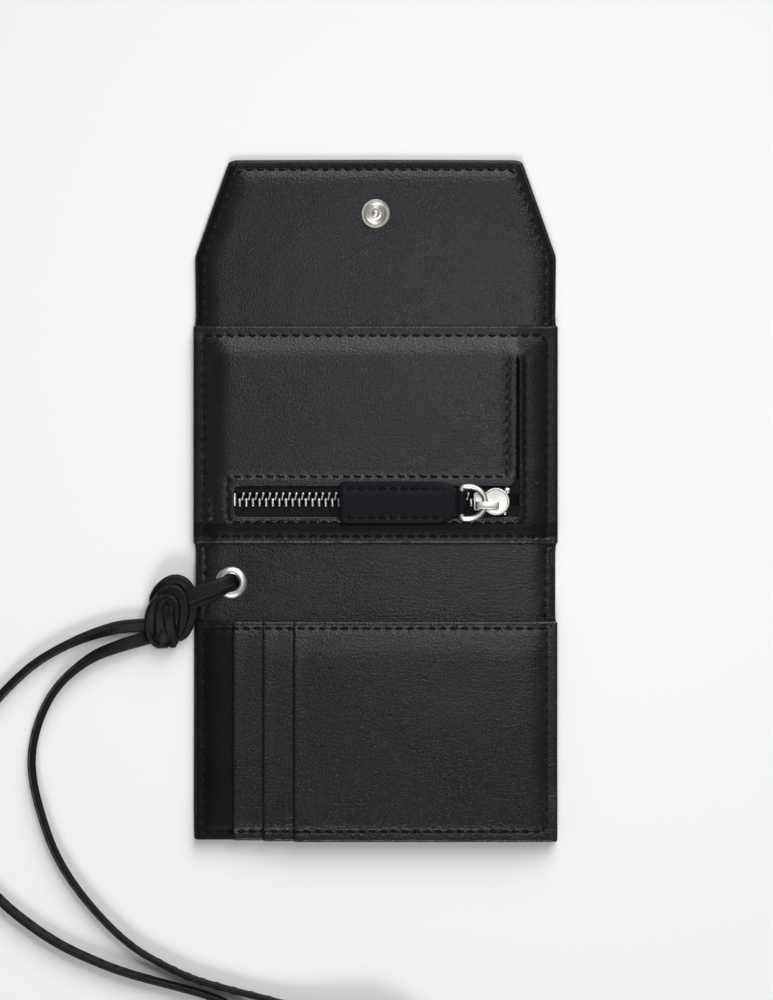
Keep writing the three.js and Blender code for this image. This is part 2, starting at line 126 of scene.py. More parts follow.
def make_overhead():
    """A small softbox, whose sheen on the leather fades towards both ends."""
    data = bpy.data.lights.new("overhead", "AREA")
    data.size = 90 * MM
    data.energy = 0.215
    data.color = (0.95, 0.965, 1.0)
    light = bpy.data.objects.new("overhead", data)
    light.location = Vector((46, 44, 330)) * MM
    light.visible_camera = False
    bpy.context.scene.collection.objects.link(light)


def make_studio():
    scene = bpy.context.scene
    scene.view_settings.view_transform = "Standard"
    world = bpy.data.worlds.new("studio")
    scene.world = world
    world.use_nodes = True
    world.node_tree.nodes["Background"].inputs["Color"].default_value = (0.97, 0.98, 1.0, 1)
    world.node_tree.nodes["Background"].inputs["Strength"].default_value = 0.20
    make_sun("key", 54, 72, 44, 2.2)
    make_sun("front", 50, -92, 22, 1.32)
    make_overhead()


def make_floor():
    half = FLOOR_HALF * MM
    mesh = bpy.data.meshes.new("floor")
    mesh.from_pydata([(-half, -half, 0), (half, -half, 0), (half, half, 0), (-half, half, 0)],
                     [], [(0, 1, 2, 3)])
    floor = bpy.data.objects.new("floor", mesh)
    material = bpy.data.materials.new("floor")
    material.use_nodes = True
    shader = material.node_tree.nodes["Principled BSDF"]
    shader.inputs["Base Color"].default_value = (0.90, 0.90, 0.90, 1)
    shader.inputs["Roughness"].default_value = 0.9
    shader.inputs["Specular IOR Level"].default_value = 0.1
    mesh.materials.append(material)
    bpy.context.scene.collection.objects.link(floor)


# ---------------------------------------------------------------- materials

class Nodes:
    """A principled material with short calls for the nodes that shape it."""

    def __init__(self, name, **settings):
        self.material = bpy.data.materials.new(name)
        self.material.use_nodes = True
        self.tree = self.material.node_tree
        self.shader = self.tree.nodes["Principled BSDF"]
        for key, value in settings.items():
            self.shader.inputs[key.replace("_", " ")].default_value = value
        self.place = self.tree.nodes.new("ShaderNodeTexCoord").outputs["Object"]

    def link(self, source, target):
        self.tree.links.new(source, target)

    def stretched(self, scale):
        node = self.tree.nodes.new("ShaderNodeMapping")
        node.inputs["Scale"].default_value = scale
        self.link(self.place, node.inputs["Vector"])
        return node.outputs["Vector"]

    def noise(self, per_mm, detail=2.0, rough=0.5, stretch=None):
        node = self.tree.nodes.new("ShaderNodeTexNoise")
        node.inputs["Scale"].default_value = per_mm / MM
        node.inputs["Detail"].default_value = detail
        node.inputs["Roughness"].default_value = rough
        self.link(self.stretched(stretch) if stretch else self.place, node.inputs["Vector"])
        return node.outputs["Fac"]

    def cells(self, per_mm, stretch=None):
        node = self.tree.nodes.new("ShaderNodeTexVoronoi")
        node.feature = "DISTANCE_TO_EDGE"
        node.inputs["Scale"].default_value = per_mm / MM
        self.link(self.stretched(stretch) if stretch else self.place, node.inputs["Vector"])
        return node.outputs["Distance"]

    def remap(self, source, low, high, to_low, to_high):
        node = self.tree.nodes.new("ShaderNodeMapRange")
        for key, value in (("From Min", low), ("From Max", high), ("To Min", to_low), ("To Max", to_high)):
            node.inputs[key].default_value = value
        self.link(source, node.inputs["Value"])
        return node.outputs["Result"]

    def sum(self, first, second):
        node = self.tree.nodes.new("ShaderNodeMath")
        node.operation = "ADD"
        self.link(first, node.inputs[0])
        self.link(second, node.inputs[1])
        return node.outputs[0]

    def colour(self, source, dark, light):
        node = self.tree.nodes.new("ShaderNodeMix")
        node.data_type = "RGBA"
        self.link(source, node.inputs["Factor"])
        node.inputs["A"].default_value = (*dark, 1)
        node.inputs["B"].default_value = (*light, 1)
        self.link(node.outputs["Result"], self.shader.inputs["Base Color"])

    def bump(self, height, strength, distance_mm):
        node = self.tree.nodes.new("ShaderNodeBump")
        node.inputs["Strength"].default_value = strength
        node.inputs["Distance"].default_value = distance_mm * MM
        self.link(height, node.inputs["Height"])
        self.link(node.outputs["Normal"], self.shader.inputs["Normal"])


def leather(name, dark, light, rough, shine, grain, wrinkle, relief):
    """Dyed calf: fine pebbled grain, faint wrinkles across the hide, and a patchy satin finish."""
    m = Nodes(name, Specular_IOR_Level=shine)
    pebble = m.remap(m.cells(grain), 0.0, 0.28, 0.0, 0.5)
    pores = m.remap(m.noise(grain * 1.6, 3.0, 0.65), 0.3, 0.7, 0.0, 0.8)
    creases = m.remap(m.noise(0.8, 3.0, 0.6, (0.3, 1.7, 1.0)), 0.35, 0.65, 0.0, wrinkle)
    m.bump(m.sum(m.sum(pebble, pores), creases), 0.6, relief)
    patches = m.noise(0.045, 3.0, 0.55)
    m.colour(m.remap(patches, 0.3, 0.7, 0.0, 1.0), dark, light)
    m.link(m.remap(m.sum(patches, pores), 0.7, 1.3, rough - 0.05, rough + 0.07), m.shader.inputs["Roughness"])
    return m.material


def thread_material():
    """Bonded sewing thread: a fine diagonal twist."""
    m = Nodes("thread", Roughness=0.5, Specular_IOR_Level=0.14)
    twist = m.noise(3.2, 1.0, 0.4, (1.0, 0.3, 1.0))
    m.bump(twist, 0.5, 0.08)
    m.colour(twist, (0.0015, 0.0015, 0.002), (0.004, 0.004, 0.0055))
    return m.material


def tape_material():
    """Woven zip tape: ribs along the tape crossed by fine picks."""
    m = Nodes("zip_tape", Roughness=0.8, Specular_IOR_Level=0.12)
    ribs = m.cells(1.5, (0.25, 1.0, 1.0))
    picks = m.noise(3.5, 1.0, 0.5, (1.0, 0.35, 1.0))
    m.bump(m.sum(ribs, picks), 0.8, 0.12)
    m.colour(picks, (0.003, 0.003, 0.0035), (0.010, 0.010, 0.012))
    return m.material


def metal(name, dark, light, rough):
    """Plated metal: polished, with faint hairlines and a little tarnish in patches."""
    m = Nodes(name, Metallic=1.0)
    hairlines = m.noise(3.0, 3.0, 0.7, (0.15, 1.0, 1.0))
    tarnish = m.noise(0.35, 2.0, 0.5)
    m.bump(hairlines, 0.02, 0.004)
    m.colour(m.remap(tarnish, 0.35, 0.65, 0.0, 1.0), dark, light)
    m.link(m.remap(hairlines, 0.3, 0.7, rough - 0.05, rough + 0.07), m.shader.inputs["Roughness"])
    return m.material


DYE = ((0.0045, 0.0045, 0.0054), (0.007, 0.007, 0.0082))
# Painted shade: a darker, duller copy of the dye for the pocket front's rims and the strip right of the slit,
# standing in for how those sloping parts catch less light.
HALF_SHADE_DYE = ((0.004, 0.004, 0.0045), (0.0058, 0.0058, 0.0063))
# Painted shade: the darkest dye, for the flap's rim outside its stitches and the pocket's near strip,
# standing in for the shade on those sloping parts. The card base strip takes it too, and so does the cord,
# whose own dark dye is darkened further to stand in for the shade over the knot's turns.
SHADE_AND_CORD_DYE = ((0.003, 0.003, 0.0035), (0.0045, 0.0045, 0.005))
EDGE_PAINT = ((0.004, 0.004, 0.005), (0.006, 0.006, 0.007))
TAB_DYE = ((0.003, 0.003, 0.005), (0.004, 0.004, 0.0062))
OUTER = leather("outer_leather", *DYE, 0.33, 0.36, 1.0, 0.35, 0.11)
LINING = leather("lining_leather", *DYE, 0.32, 0.38, 1.0, 0.5, 0.11)
# The next two are half-shaded and shaded copies of the lining leather: painted shade, with less shine.
HALF_SHADED = leather("half_shade_leather", *HALF_SHADE_DYE, 0.36, 0.22, 1.0, 0.4, 0.10)
SHADED = leather("painted_shade_leather", *SHADE_AND_CORD_DYE, 0.42, 0.12, 1.0, 0.4, 0.10)
EDGE = leather("painted_edge", *EDGE_PAINT, 0.32, 0.4, 0.9, 0.1, 0.05)
# The cord's low shine and dark dye partly stand in for the shade over the knot.
CORD = leather("cord_leather", *SHADE_AND_CORD_DYE, 0.44, 0.2, 1.6, 0.5, 0.09)
TAB = leather("tab_leather", *TAB_DYE, 0.42, 0.12, 2.0, 0.1, 0.05)
THREAD_DYED = thread_material()
TAPE = tape_material()
NICKEL = metal("nickel", (0.55, 0.535, 0.505), (0.66, 0.64, 0.61), 0.38)
TEETH = metal("zip_metal", (0.62, 0.61, 0.58), (0.76, 0.75, 0.73), 0.3)


# ---------------------------------------------------------------- meshes

def make(name, points, faces, *materials, indices=None, sharp=40):
    """An object from points in millimetres, smooth but for edges sharper than an angle."""
    mesh = bpy.data.meshes.new(name)
    mesh.from_pydata([tuple(p) for p in np.asarray(points, float) * MM], [], [tuple(f) for f in faces])
    for material in materials:
        mesh.materials.append(material)
    if indices is not None:
        mesh.polygons.foreach_set("material_index", np.asarray(indices, np.int32))
    mesh.polygons.foreach_set("use_smooth", np.ones(len(mesh.polygons), bool))
    mesh.set_sharp_from_angle(angle=math.radians(sharp))
    mesh.update()
    piece = bpy.data.objects.new(name, mesh)
    bpy.context.scene.collection.objects.link(piece)
    return piece


def join(parts):
    """Several (points, faces) as one."""
    points, faces, first = [], [], 0
    for p, f in parts:
        points.append(np.asarray(p, float))
        faces += [tuple(int(i) + first for i in face) for face in f]
        first += len(p)
    return np.vstack(points), faces


def smooth(t):
    t = np.clip(t, 0, 1)
    return t * t * (3 - 2 * t)


def resample(line, step, closed=False):
    """Points along a line of corners, step or a little less apart, each corner kept."""
    corners = np.asarray(line, float)
    if closed:
        corners = np.vstack([corners, corners[:1]])
    out = []
    for a, b in zip(corners[:-1], corners[1:]):
        count = max(1, math.ceil(np.linalg.norm(b - a) / step - 1e-6))
        out += [a + (b - a) * i / count for i in range(count)]
    if not closed:
        out.append(corners[-1])
    return np.array(out)


def rounded(corners, radius, closed=True):
    """The corners of a line, each turned into a short curve."""
    corners = np.asarray(corners, float)
    out, count = [], len(corners)
    for i, c in enumerate(corners):
        if not closed and i in (0, count - 1):
            out.append(c)
            continue
        before, after = corners[i - 1] - c, corners[(i + 1) % count] - c
        reach = min(radius, 0.45 * np.linalg.norm(before), 0.45 * np.linalg.norm(after))
        a = c + before / np.linalg.norm(before) * reach
        b = c + after / np.linalg.norm(after) * reach
        for t in np.linspace(0, 1, 5):
            out.append((1 - t) ** 2 * a + 2 * t * (1 - t) * c + t * t * b)
    return np.array(out)


def offset(corners, distance, closed=True):
    """A line of corners moved to its left by a distance."""
    p = np.asarray(corners, float)
    count = len(p)
    ahead = np.roll(p, -1, 0) - p
    ahead /= np.maximum(np.linalg.norm(ahead, axis=1, keepdims=True), 1e-9)
    normal = np.stack([-ahead[:, 1], ahead[:, 0]], 1)
    out = []
    for i in range(count):
        n0 = normal[i - 1] if closed or i > 0 else normal[0]
        n1 = normal[i] if closed or i < count - 1 else normal[count - 2]
        mitre = n0 + n1
        out.append(p[i] + mitre * distance / max(0.3, mitre @ n0))
    return np.array(out)


def looped(corners):
    """A closed line of corners as an open one that ends where it starts."""
    return np.vstack([corners, corners[:1]])


def inside(points, polygon):
    """Which points lie inside a closed polygon."""
    x, y = points[:, :1], points[:, 1:]
    a, b = polygon, np.roll(polygon, -1, 0)
    crosses = (a[:, 1] > y) != (b[:, 1] > y)
    with np.errstate(divide="ignore", invalid="ignore"):
        at = (b[:, 0] - a[:, 0]) * (y - a[:, 1]) / (b[:, 1] - a[:, 1]) + a[:, 0]
    return (crosses & (x < at)).sum(1) % 2 == 1


def distance(points, line, closed=False):
    """How far each point is from a line of corners."""
    a = np.asarray(line, float)
    b = np.roll(a, -1, 0) if closed else a[1:]
    a = a if closed else a[:-1]
    best = np.full(len(points), 1e9)
    for start, end in zip(a, b):
        along = end - start
        length = max(along @ along, 1e-12)
        t = np.clip(((points - start) @ along) / length, 0, 1)
        best = np.minimum(best, np.linalg.norm(points - start - t[:, None] * along, axis=1))
    return best


def fill(outline, holes=(), ribs=(), step=1.6):
    """Points and triangles that fill an outline, with points along each rib, where it is creased."""
    points, edges = [], []
    for line, closed in [(outline, True)] + [(h, True) for h in holes] + [(r, False) for r in ribs]:
        first = len(points)
        points += [tuple(p) for p in line]
        count = len(line)
        edges += [(first + i, first + (i + 1) % count) for i in range(count if closed else count - 1)]
    fixed = np.array(points)
    low, high = outline.min(0), outline.max(0)
    rise = step * math.sqrt(3) / 2
    seeds = []
    for row, y in enumerate(np.arange(low[1] + rise / 2, high[1], rise)):
        xs = np.arange(low[0] + step / 2 * (1 + row % 2), high[0], step)
        seeds.append(np.stack([xs, np.full(len(xs), y)], 1))
    seeds = np.vstack(seeds)
    seeds = seeds[inside(seeds, outline)]
    for hole in holes:
        seeds = seeds[~inside(seeds, hole)]
    near = np.full(len(seeds), 1e9)
    for chunk in np.array_split(fixed, max(1, len(fixed) // 200)):
        gaps = np.linalg.norm(seeds[:, None] - chunk[None], axis=2).min(1)
        near = np.minimum(near, gaps)
    seeds = seeds[near > 0.6 * step]
    everything = [Vector(p) for p in np.vstack([fixed, seeds])]
    verts, _, faces, *_ = delaunay_2d_cdt(everything, edges, [], 1, 1e-4)
    xy = np.array([tuple(v) for v in verts])
    tris = np.array([f for f in faces if len(f) == 3])
    middle = xy[tris].mean(1)
    kept = inside(middle, outline)
    for hole in holes:
        kept &= ~inside(middle, hole)
    return xy, tris[kept]


def slab(xy, tris, top, bottom):
    """A closed solid between two surfaces over the same triangles; its wall faces come last."""
    count = len(xy)
    points = np.vstack([np.column_stack([xy, top]), np.column_stack([xy, bottom])])
    faces = [tuple(t) for t in tris] + [(a + count, c + count, b + count) for a, b, c in tris]
    sides = {}
    for a, b, c in tris:
        for edge in ((a, b), (b, c), (c, a)):
            sides[edge] = True
    rim = [(a, b) for a, b in sides if (b, a) not in sides]
    faces += [(b, a, a + count, b + count) for a, b in rim]
    used = np.zeros(len(points), bool)
    used[np.unique(np.concatenate([np.array(f) for f in faces]))] = True
    if used.all():
        return points, faces, len(rim)
    renumber = np.cumsum(used) - 1
    return points[used], [tuple(int(renumber[i]) for i in f) for f in faces], len(rim)


def middles(points, faces):
    """Each face's middle, seen from above."""
    return np.array([points[list(face), :2].mean(0) for face in faces])


def rim_marks(faces, rim):
    """Material 1 for a slab's wall faces, which come last, and 0 for the others."""
    return [0] * (len(faces) - rim) + [1] * rim


def edge_round(gap, radius):
    """How far a rounded edge falls, by the distance in from it."""
    inward = np.clip(gap, 0, radius)
    return radius - np.sqrt(np.maximum(0, radius ** 2 - (radius - inward) ** 2))


# ---------------------------------------------------------------- the lie of the leather

EDGE_POINTS = [
    (HALF_WIDTH - 0.1, -HALF_LENGTH), (HALF_WIDTH, -88), (HALF_WIDTH - 0.1, -37), (HALF_WIDTH - 0.6, -33.5),
    (HALF_WIDTH - 0.6, -14), (HALF_WIDTH - 0.1, -11.5), (HALF_WIDTH, 30), (HALF_WIDTH - 0.1, 47),
    (HALF_WIDTH - 0.6, 51), (HALF_WIDTH - 0.4, 68.8), (42.4, 93.8), (41.6, 95.9), (39.4, HALF_LENGTH - 0.1),
    (0, HALF_LENGTH),
]
WALLET = np.array(EDGE_POINTS + [(-x, y) for x, y in EDGE_POINTS[-2::-1]])


def droop(xy):
    """How far the leather sinks: its soft edges bend towards the table, though hardly where the
    cord runs under them, and the flap springs up a little past its crease."""
    gap = distance(xy, WALLET, closed=True)
    cord = np.exp(-(((xy[:, 0] + 51) / 14) ** 2 + ((xy[:, 1] + 26.5) / 9) ** 2))
    arch = smooth((xy[:, 1] - 49) / 34) * (1 - smooth((xy[:, 1] - 80) / 17))
    return EDGE_DROOP * (1 - smooth(gap / DROOP_REACH)) * (1 - 0.9 * cord) - FLAP_ARCH * arch


def fullness_in(xy, left, right, near, far, reach):
    """0 at the edges of a rectangle and 1 well inside it, with soft corners."""
    x, y = xy[:, 0], xy[:, 1]
    sides = [smooth(gap / r) for gap, r in zip((x - left, right - x, y - near, far - y), reach)]
    return sides[0] * sides[1] * sides[2] * sides[3]


def waves(xy, size, seed):
    """Gentle unevenness: a few crossed waves of about one length."""
    pick = np.random.default_rng(seed)
    total = np.zeros(len(xy))
    for _ in range(7):
        turn, phase = pick.uniform(0, math.pi), pick.uniform(0, 2 * math.pi)
        length = size * pick.uniform(0.7, 1.6)
        across = xy @ np.array([math.cos(turn), math.sin(turn)])
        total += np.sin(2 * math.pi * across / length + phase)
    return total / 7


def groove(xy, lines, depth=0.28, width=0.55):
    """The channel that a row of stitches pulls into the leather, with a dimple at each hole."""
    fall = np.zeros(len(xy))
    for line in lines:
        path = stitch_points(line)
        fall = np.maximum(fall, depth * np.exp(-((distance(xy, path) / width) ** 2)))
        for hole in path:
            fall += HOLE_DEPTH * np.exp(-(((xy - hole) ** 2).sum(1)) / HOLE_REACH ** 2)
    return fall


def stitch_points(line):
    """The holes along a row of stitches, evenly spaced."""
    line = np.asarray(line, float)
    pieces = np.linalg.norm(np.diff(line, axis=0), axis=1)
    total = pieces.sum()
    count = max(2, round(total / STITCH_PITCH))
    at = np.concatenate([[0], np.cumsum(pieces)])
    where = np.linspace(0, total, count + 1)
    return np.stack([np.interp(where, at, line[:, 0]), np.interp(where, at, line[:, 1])], 1)


def clip(line, low, high):
    """The stretches of a line of points that lie between two heights up the wallet."""
    runs, run = [], []
    for a, b in zip(line[:-1], line[1:]):
        ends = []
        for p, q in ((a, b), (b, a)):
            if low <= p[1] <= high:
                ends.append(p)
            else:
                edge = low if p[1] < low else high
                t = (edge - p[1]) / (q[1] - p[1]) if q[1] != p[1] else -1
                ends.append(p + (q - p) * t if 0 <= t <= 1 else None)
        if ends[0] is None or ends[1] is None or np.allclose(ends[0], ends[1]):
            if run:
                runs.append(run)
            run = []
            continue
        if run and not np.allclose(run[-1], ends[0]):
            runs.append(run)
            run = []
        run = run or [ends[0]]
        run.append(ends[1])
    return [np.array(r) for r in (runs + [run] if run else runs)]


# Each stretch of back leather and lining: its near and far ends, and how it moves
STRETCHES = {
    "card_panel": (-HALF_LENGTH, -33.5, ["card_panel"], None),
    "card_fold": (-33.5, -28.2, ["spine", "card_panel"], (-28.2, -33.5)),
    "spine": (-28.2, -18.7, ["spine"], None),
    "zip_fold": (-18.7, -13.4, ["spine", "zip_panel"], (-18.7, -13.4)),
    "zip_panel": (-13.4, 47.2, ["zip_panel"], None),
    "flap_fold": (47.2, 56.0, ["zip_panel", "flap_spine"], (47.6, 54.0)),
    "flap_spine": (56.0, 61.5, ["flap_spine"], None),
    "flap_outer_fold": (61.5, 72.0, ["flap_spine", "flap"], (62.8, 70.6)),
    "flap": (72.0, HALF_LENGTH, ["flap"], None),
}
NODES_OF = {
    "card_panel": ["card_panel"], "card_fold": ["card_panel", "spine"], "spine": ["spine"],
    "zip_fold": ["spine", "zip_panel"], "zip_panel": ["zip_panel"], "flap_fold": ["zip_panel", "flap_spine"],
    "flap_spine": ["flap_spine"], "flap_outer_fold": ["flap_spine", "flap"], "flap": ["flap"],
}


def settle(piece, stretch):
    """Makes a piece of a stretch ride on its body; a piece across a fold only has its placing baked into its
    mesh.
    """
    _, _, bodies, bend = STRETCHES[stretch]
    if bend is None:
        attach(piece, bodies[0])
        return
    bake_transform(piece)


def cut(polygon, low, high):
    """The part of a closed polygon between two heights up the wallet."""
    for edge, side in ((low, 1), (high, -1)):
        kept = []
        for a, b in zip(polygon, np.roll(polygon, -1, 0)):
            in_a, in_b = side * (a[1] - edge) >= 0, side * (b[1] - edge) >= 0
            if in_a:
                kept.append(a)
            if in_a != in_b:
                kept.append(a + (b - a) * (edge - a[1]) / (b[1] - a[1]))
        polygon = np.array(kept)
    keep = [i for i in range(len(polygon)) if np.linalg.norm(polygon[i] - polygon[i - 1]) > 1e-3]
    return polygon[keep]


def stand(piece, nodes, body=None, stretch=None):
    """Hides the CAD nodes a piece stands for and puts it on its body, or bakes its placing if it lies across
    a fold.
    """
    if stretch:
        settle(piece, stretch)
    else:
        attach(piece, body)
    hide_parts(*nodes)
    return piece


def sew(name, stitches, body):
    """One piece from many stitches, on a body."""
    piece = make(name, *join(stitches), THREAD_DYED)
    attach(piece, body)
    return piece


# ---------------------------------------------------------------- cord: knot, strands, coil, tie

STRAP_WIDTH, STRAP_THICKNESS = 4.0, 2.0
STRAND_HEIGHT = 2.1
OUTER_ROUTE = [
    (-57.5, -34.4), (-60, -34.9), (-66, -35.6), (-72.9, -36.2), (-81.2, -38.6), (-89.5, -42.2),
    (-97.8, -47.4), (-106.1, -55.3), (-113.5, -64.5), (-118.4, -75), (-119.6, -86), (-117.8, -96.5),
    (-113, -106),
    (-106.1, -114), (-97.8, -120.8), (-89.5, -126.2), (-81.2, -130.2), (-72.9, -133.5), (-64.6, -136),
    (-56.3, -138.2), (-48, -140.6), (-41.5, -143.4), (-36.2, -148.2), (-32.8, -155), (-31.2, -163.5),
]
INNER_ROUTE = [
    (-58, -37.2), (-60, -38.0), (-64.6, -39.2), (-72.9, -41.6), (-81.2, -45.2), (-89.5, -52.2),
    (-94.5, -60.4), (-97.2, -69.6), (-97.4, -77.9), (-95.3, -87.8), (-91.2, -99.5), (-85.4, -109.4),
    (-77.1, -119.4), (-68.8, -126.9), (-60.4, -131.9), (-52.2, -135.7), (-43.9, -138.3), (-34, -140.9),
    (-24.5, -143.3), (-15, -145.6),
]
INNER_RISE = {-24.5: 3.0, -15: 4.9}
COIL_CENTRE = np.array([-5.0, -172.5])
COIL_RADII = (25.7, 19.0)
COIL_TURNS = 2.25
COIL_STEP = 10
COIL_START, COIL_FINISH = 180, 90 + 360 * 5
COIL_LEVELS = (2.8, 6.5)
TIE_ANGLE = -45
TIE_WIDTH = 5.0
LEG_ROUTES = {
    "over": ([(-39.9, -22.9, 2.4), (-41.2, -23.4, 4.7), (-44.5, -24.5, 5.9), (-48.5, -25.9, 6.1),
              (-52.5, -27.4, 6.0), (-56.0, -29.0, 5.4)], 2.15, 0.85),
    "beside": ([(-40.6, -24.6, 2.2), (-42.2, -25.3, 4.4), (-45.5, -27.2, 5.0), (-49.5, -28.9, 5.0),
                (-53.5, -30.4, 5.0), (-56.0, -31.4, 4.6)], 1.2, 0.75),
    "under": ([(-40.2, -23.2, 0.85), (-44, -24.6, 0.8), (-49, -26.6, 0.8), (-53, -28.4, 1.6),
               (-55.5, -29.6, 3.0)], 1.95, 0.5),
}
LEG_NODES = ["cord_loop_over", "cord_loop_under"]


def spline(points, step):
    """A smooth line through points, with a point about every step."""
    p = np.asarray(points, float)
    ends = np.vstack([2 * p[0] - p[1], p, 2 * p[-1] - p[-2]])
    out = []
    for i in range(1, len(ends) - 2):
        a, b, c, d = ends[i - 1:i + 3]
        count = max(1, round(np.linalg.norm(c - b) / step))
        for t in np.arange(count) / count:
            out.append(0.5 * (2 * b + (c - a) * t + (2 * a - 5 * b + 4 * c - d) * t ** 2
                              + (3 * b - a - 3 * c + d) * t ** 3))
    return np.array(out + [p[-1]])


def sweep(path, across, along, closed=False, turn=0.0, sides=12, square=2.6, channel=0.0):
    """A tube with a rounded flat section: across and along are its half sizes beside and above
    the path, and turn, in degrees, rolls it; each may change along the path. channel sinks a
    groove along the middle of both flat faces, on whichever sides are the wider."""
    path = np.asarray(path, float)
    count = len(path)
    across, along, turn = (np.broadcast_to(np.asarray(v, float), count) for v in (across, along, turn))
    if closed:
        tangent = np.roll(path, -1, 0) - np.roll(path, 1, 0)
    else:
        tangent = np.gradient(path, axis=0)
    tangent /= np.linalg.norm(tangent, axis=1, keepdims=True)
    side = np.cross((0, 0, 1.0), tangent)
    for i in range(count):
        if np.linalg.norm(side[i]) < 0.15:
            side[i] = side[i - 1] if i else (1, 0, 0)
        side[i] -= tangent[i] * (side[i] @ tangent[i])
        side[i] /= np.linalg.norm(side[i])
        if i and side[i] @ side[i - 1] < 0:
            side[i] = -side[i]
    up = np.cross(tangent, side)
    angle = np.linspace(0, 2 * math.pi, sides, endpoint=False)
    u = np.sign(np.cos(angle)) * np.abs(np.cos(angle)) ** (2 / square)
    v = np.sign(np.sin(angle)) * np.abs(np.sin(angle)) ** (2 / square)
    if across[0] > along[0]:
        v = v * (1 - channel * np.exp(-((u / 0.2) ** 2)))
    else:
        u = u * (1 - channel * np.exp(-((v / 0.2) ** 2)))
    rings = []
    for i in range(count):
        c, s = math.cos(math.radians(turn[i])), math.sin(math.radians(turn[i]))
        x, y = u * across[i], v * along[i]
        rings.append(path[i] + np.outer(x * c - y * s, side[i]) + np.outer(x * s + y * c, up[i]))
    faces = []
    for i in range(count if closed else count - 1):
        a, b = i * sides, (i + 1) % count * sides
        faces += [(a + j, a + (j + 1) % sides, b + (j + 1) % sides, b + j) for j in range(sides)]
    if not closed:
        faces += [tuple(range(sides))[::-1], tuple(range((count - 1) * sides, count * sides))]
    return np.vstack(rings), faces


def on_coil(degrees, radius, lift):
    """A point so many degrees round the coil's centre."""
    angle = math.radians(degrees)
    return (*(COIL_CENTRE + radius * np.array([math.cos(angle), math.sin(angle)])), lift)


def coil_route():
    """From the outer strand, one layer of turns inwards, then back out above it to the inner strand."""
    outside, inside_radius = COIL_RADII
    below, above = COIL_LEVELS
    steps = int(360 * COIL_TURNS / COIL_STEP)
    route = []
    for i in range(steps + 1):
        t = i / steps
        lift = below - 0.7 * math.exp(-(i / 6) ** 2)
        radius = outside + (inside_radius - outside) * t
        route.append(on_coil(COIL_START + 360 * COIL_TURNS * t, radius, lift))
    turned = COIL_START + 360 * COIL_TURNS
    steps = round((COIL_FINISH - turned) / COIL_STEP)
    for i in range(1, steps + 1):
        t = i / steps
        lift = below + (above - below) * smooth(i / 6)
        degrees = turned + (COIL_FINISH - turned) * t
        route.append(on_coil(degrees, inside_radius + (outside - inside_radius) * t, lift))
    return route


def strap_seam(route):
    """A stitch at every second step of the route, along both edges of the strap."""
    stitches = []
    for side in (-1, 1):
        for a, b in list(zip(route[:-1], route[1:]))[::2]:
            middle, ahead = (a + b) / 2, (b - a) / np.linalg.norm(b - a)
            beside = np.cross((0, 0, 1), ahead)
            beside /= np.linalg.norm(beside)
            place = middle + beside * (STRAP_THICKNESS / 2 + 0.02) * side
            stitches.append(sweep([place - ahead * 0.7, place, place + ahead * 0.7], 0.10, 0.16, sides=6))
    return stitches


def make_cord():
    """The strap along its whole route, with its seam, knot, loop and tie."""
    outer = [(x, y, STRAND_HEIGHT) for x, y in OUTER_ROUTE]
    inner = [(x, y, INNER_RISE.get(x, STRAND_HEIGHT)) for x, y in INNER_ROUTE]
    for route in (outer, inner):
        route[0] = (*route[0][:2], 3.4)
    whole = spline(outer + coil_route() + inner[::-1], 2.4)
    length = np.linalg.norm(np.diff(whole, axis=0), axis=1).sum()
    at = np.arange(len(whole))
    hold = np.minimum(at, at[::-1])
    from_coil = np.linalg.norm(whole[:, :2] - COIL_CENTRE, axis=1)
    lean = (12 + 7 * np.sin(at * 0.045) + 3 * np.sin(at * 0.13 + 1)) * smooth((from_coil - 28) / 25)
    lean += 58 * (1 - smooth((hold - 2) / 14))
    points, faces = sweep(whole, STRAP_THICKNESS / 2, STRAP_WIDTH / 2 - 0.1, turn=lean, sides=20, square=3.4,
                          channel=0.22)
    strap = make("cord_strap", points, faces, CORD, sharp=60)
    stand(strap, ["cord_outer_strand", "cord_inner_strand", "cord_coil"], body="spine")

    seam = sew("cord_seam", strap_seam(whole), "spine")

    knot = make("cord_knot_lobes", *join(knot_parts()), CORD, sharp=60)
    stand(knot, ["cord_knot"], body="spine")
    legs = []
    for route, wide, tall in LEG_ROUTES.values():
        legs.append(sweep(spline(route, 0.9), wide, tall, sides=24, square=3.4, channel=0.3))
    loop = make("cord_loop", *join(legs), CORD, sharp=60)
    stand(loop, LEG_NODES, body="spine")

    tie = make("cord_tie_band", *tie_band(), CORD, sharp=50)
    stand(tie, ["cord_tie"], body="spine")


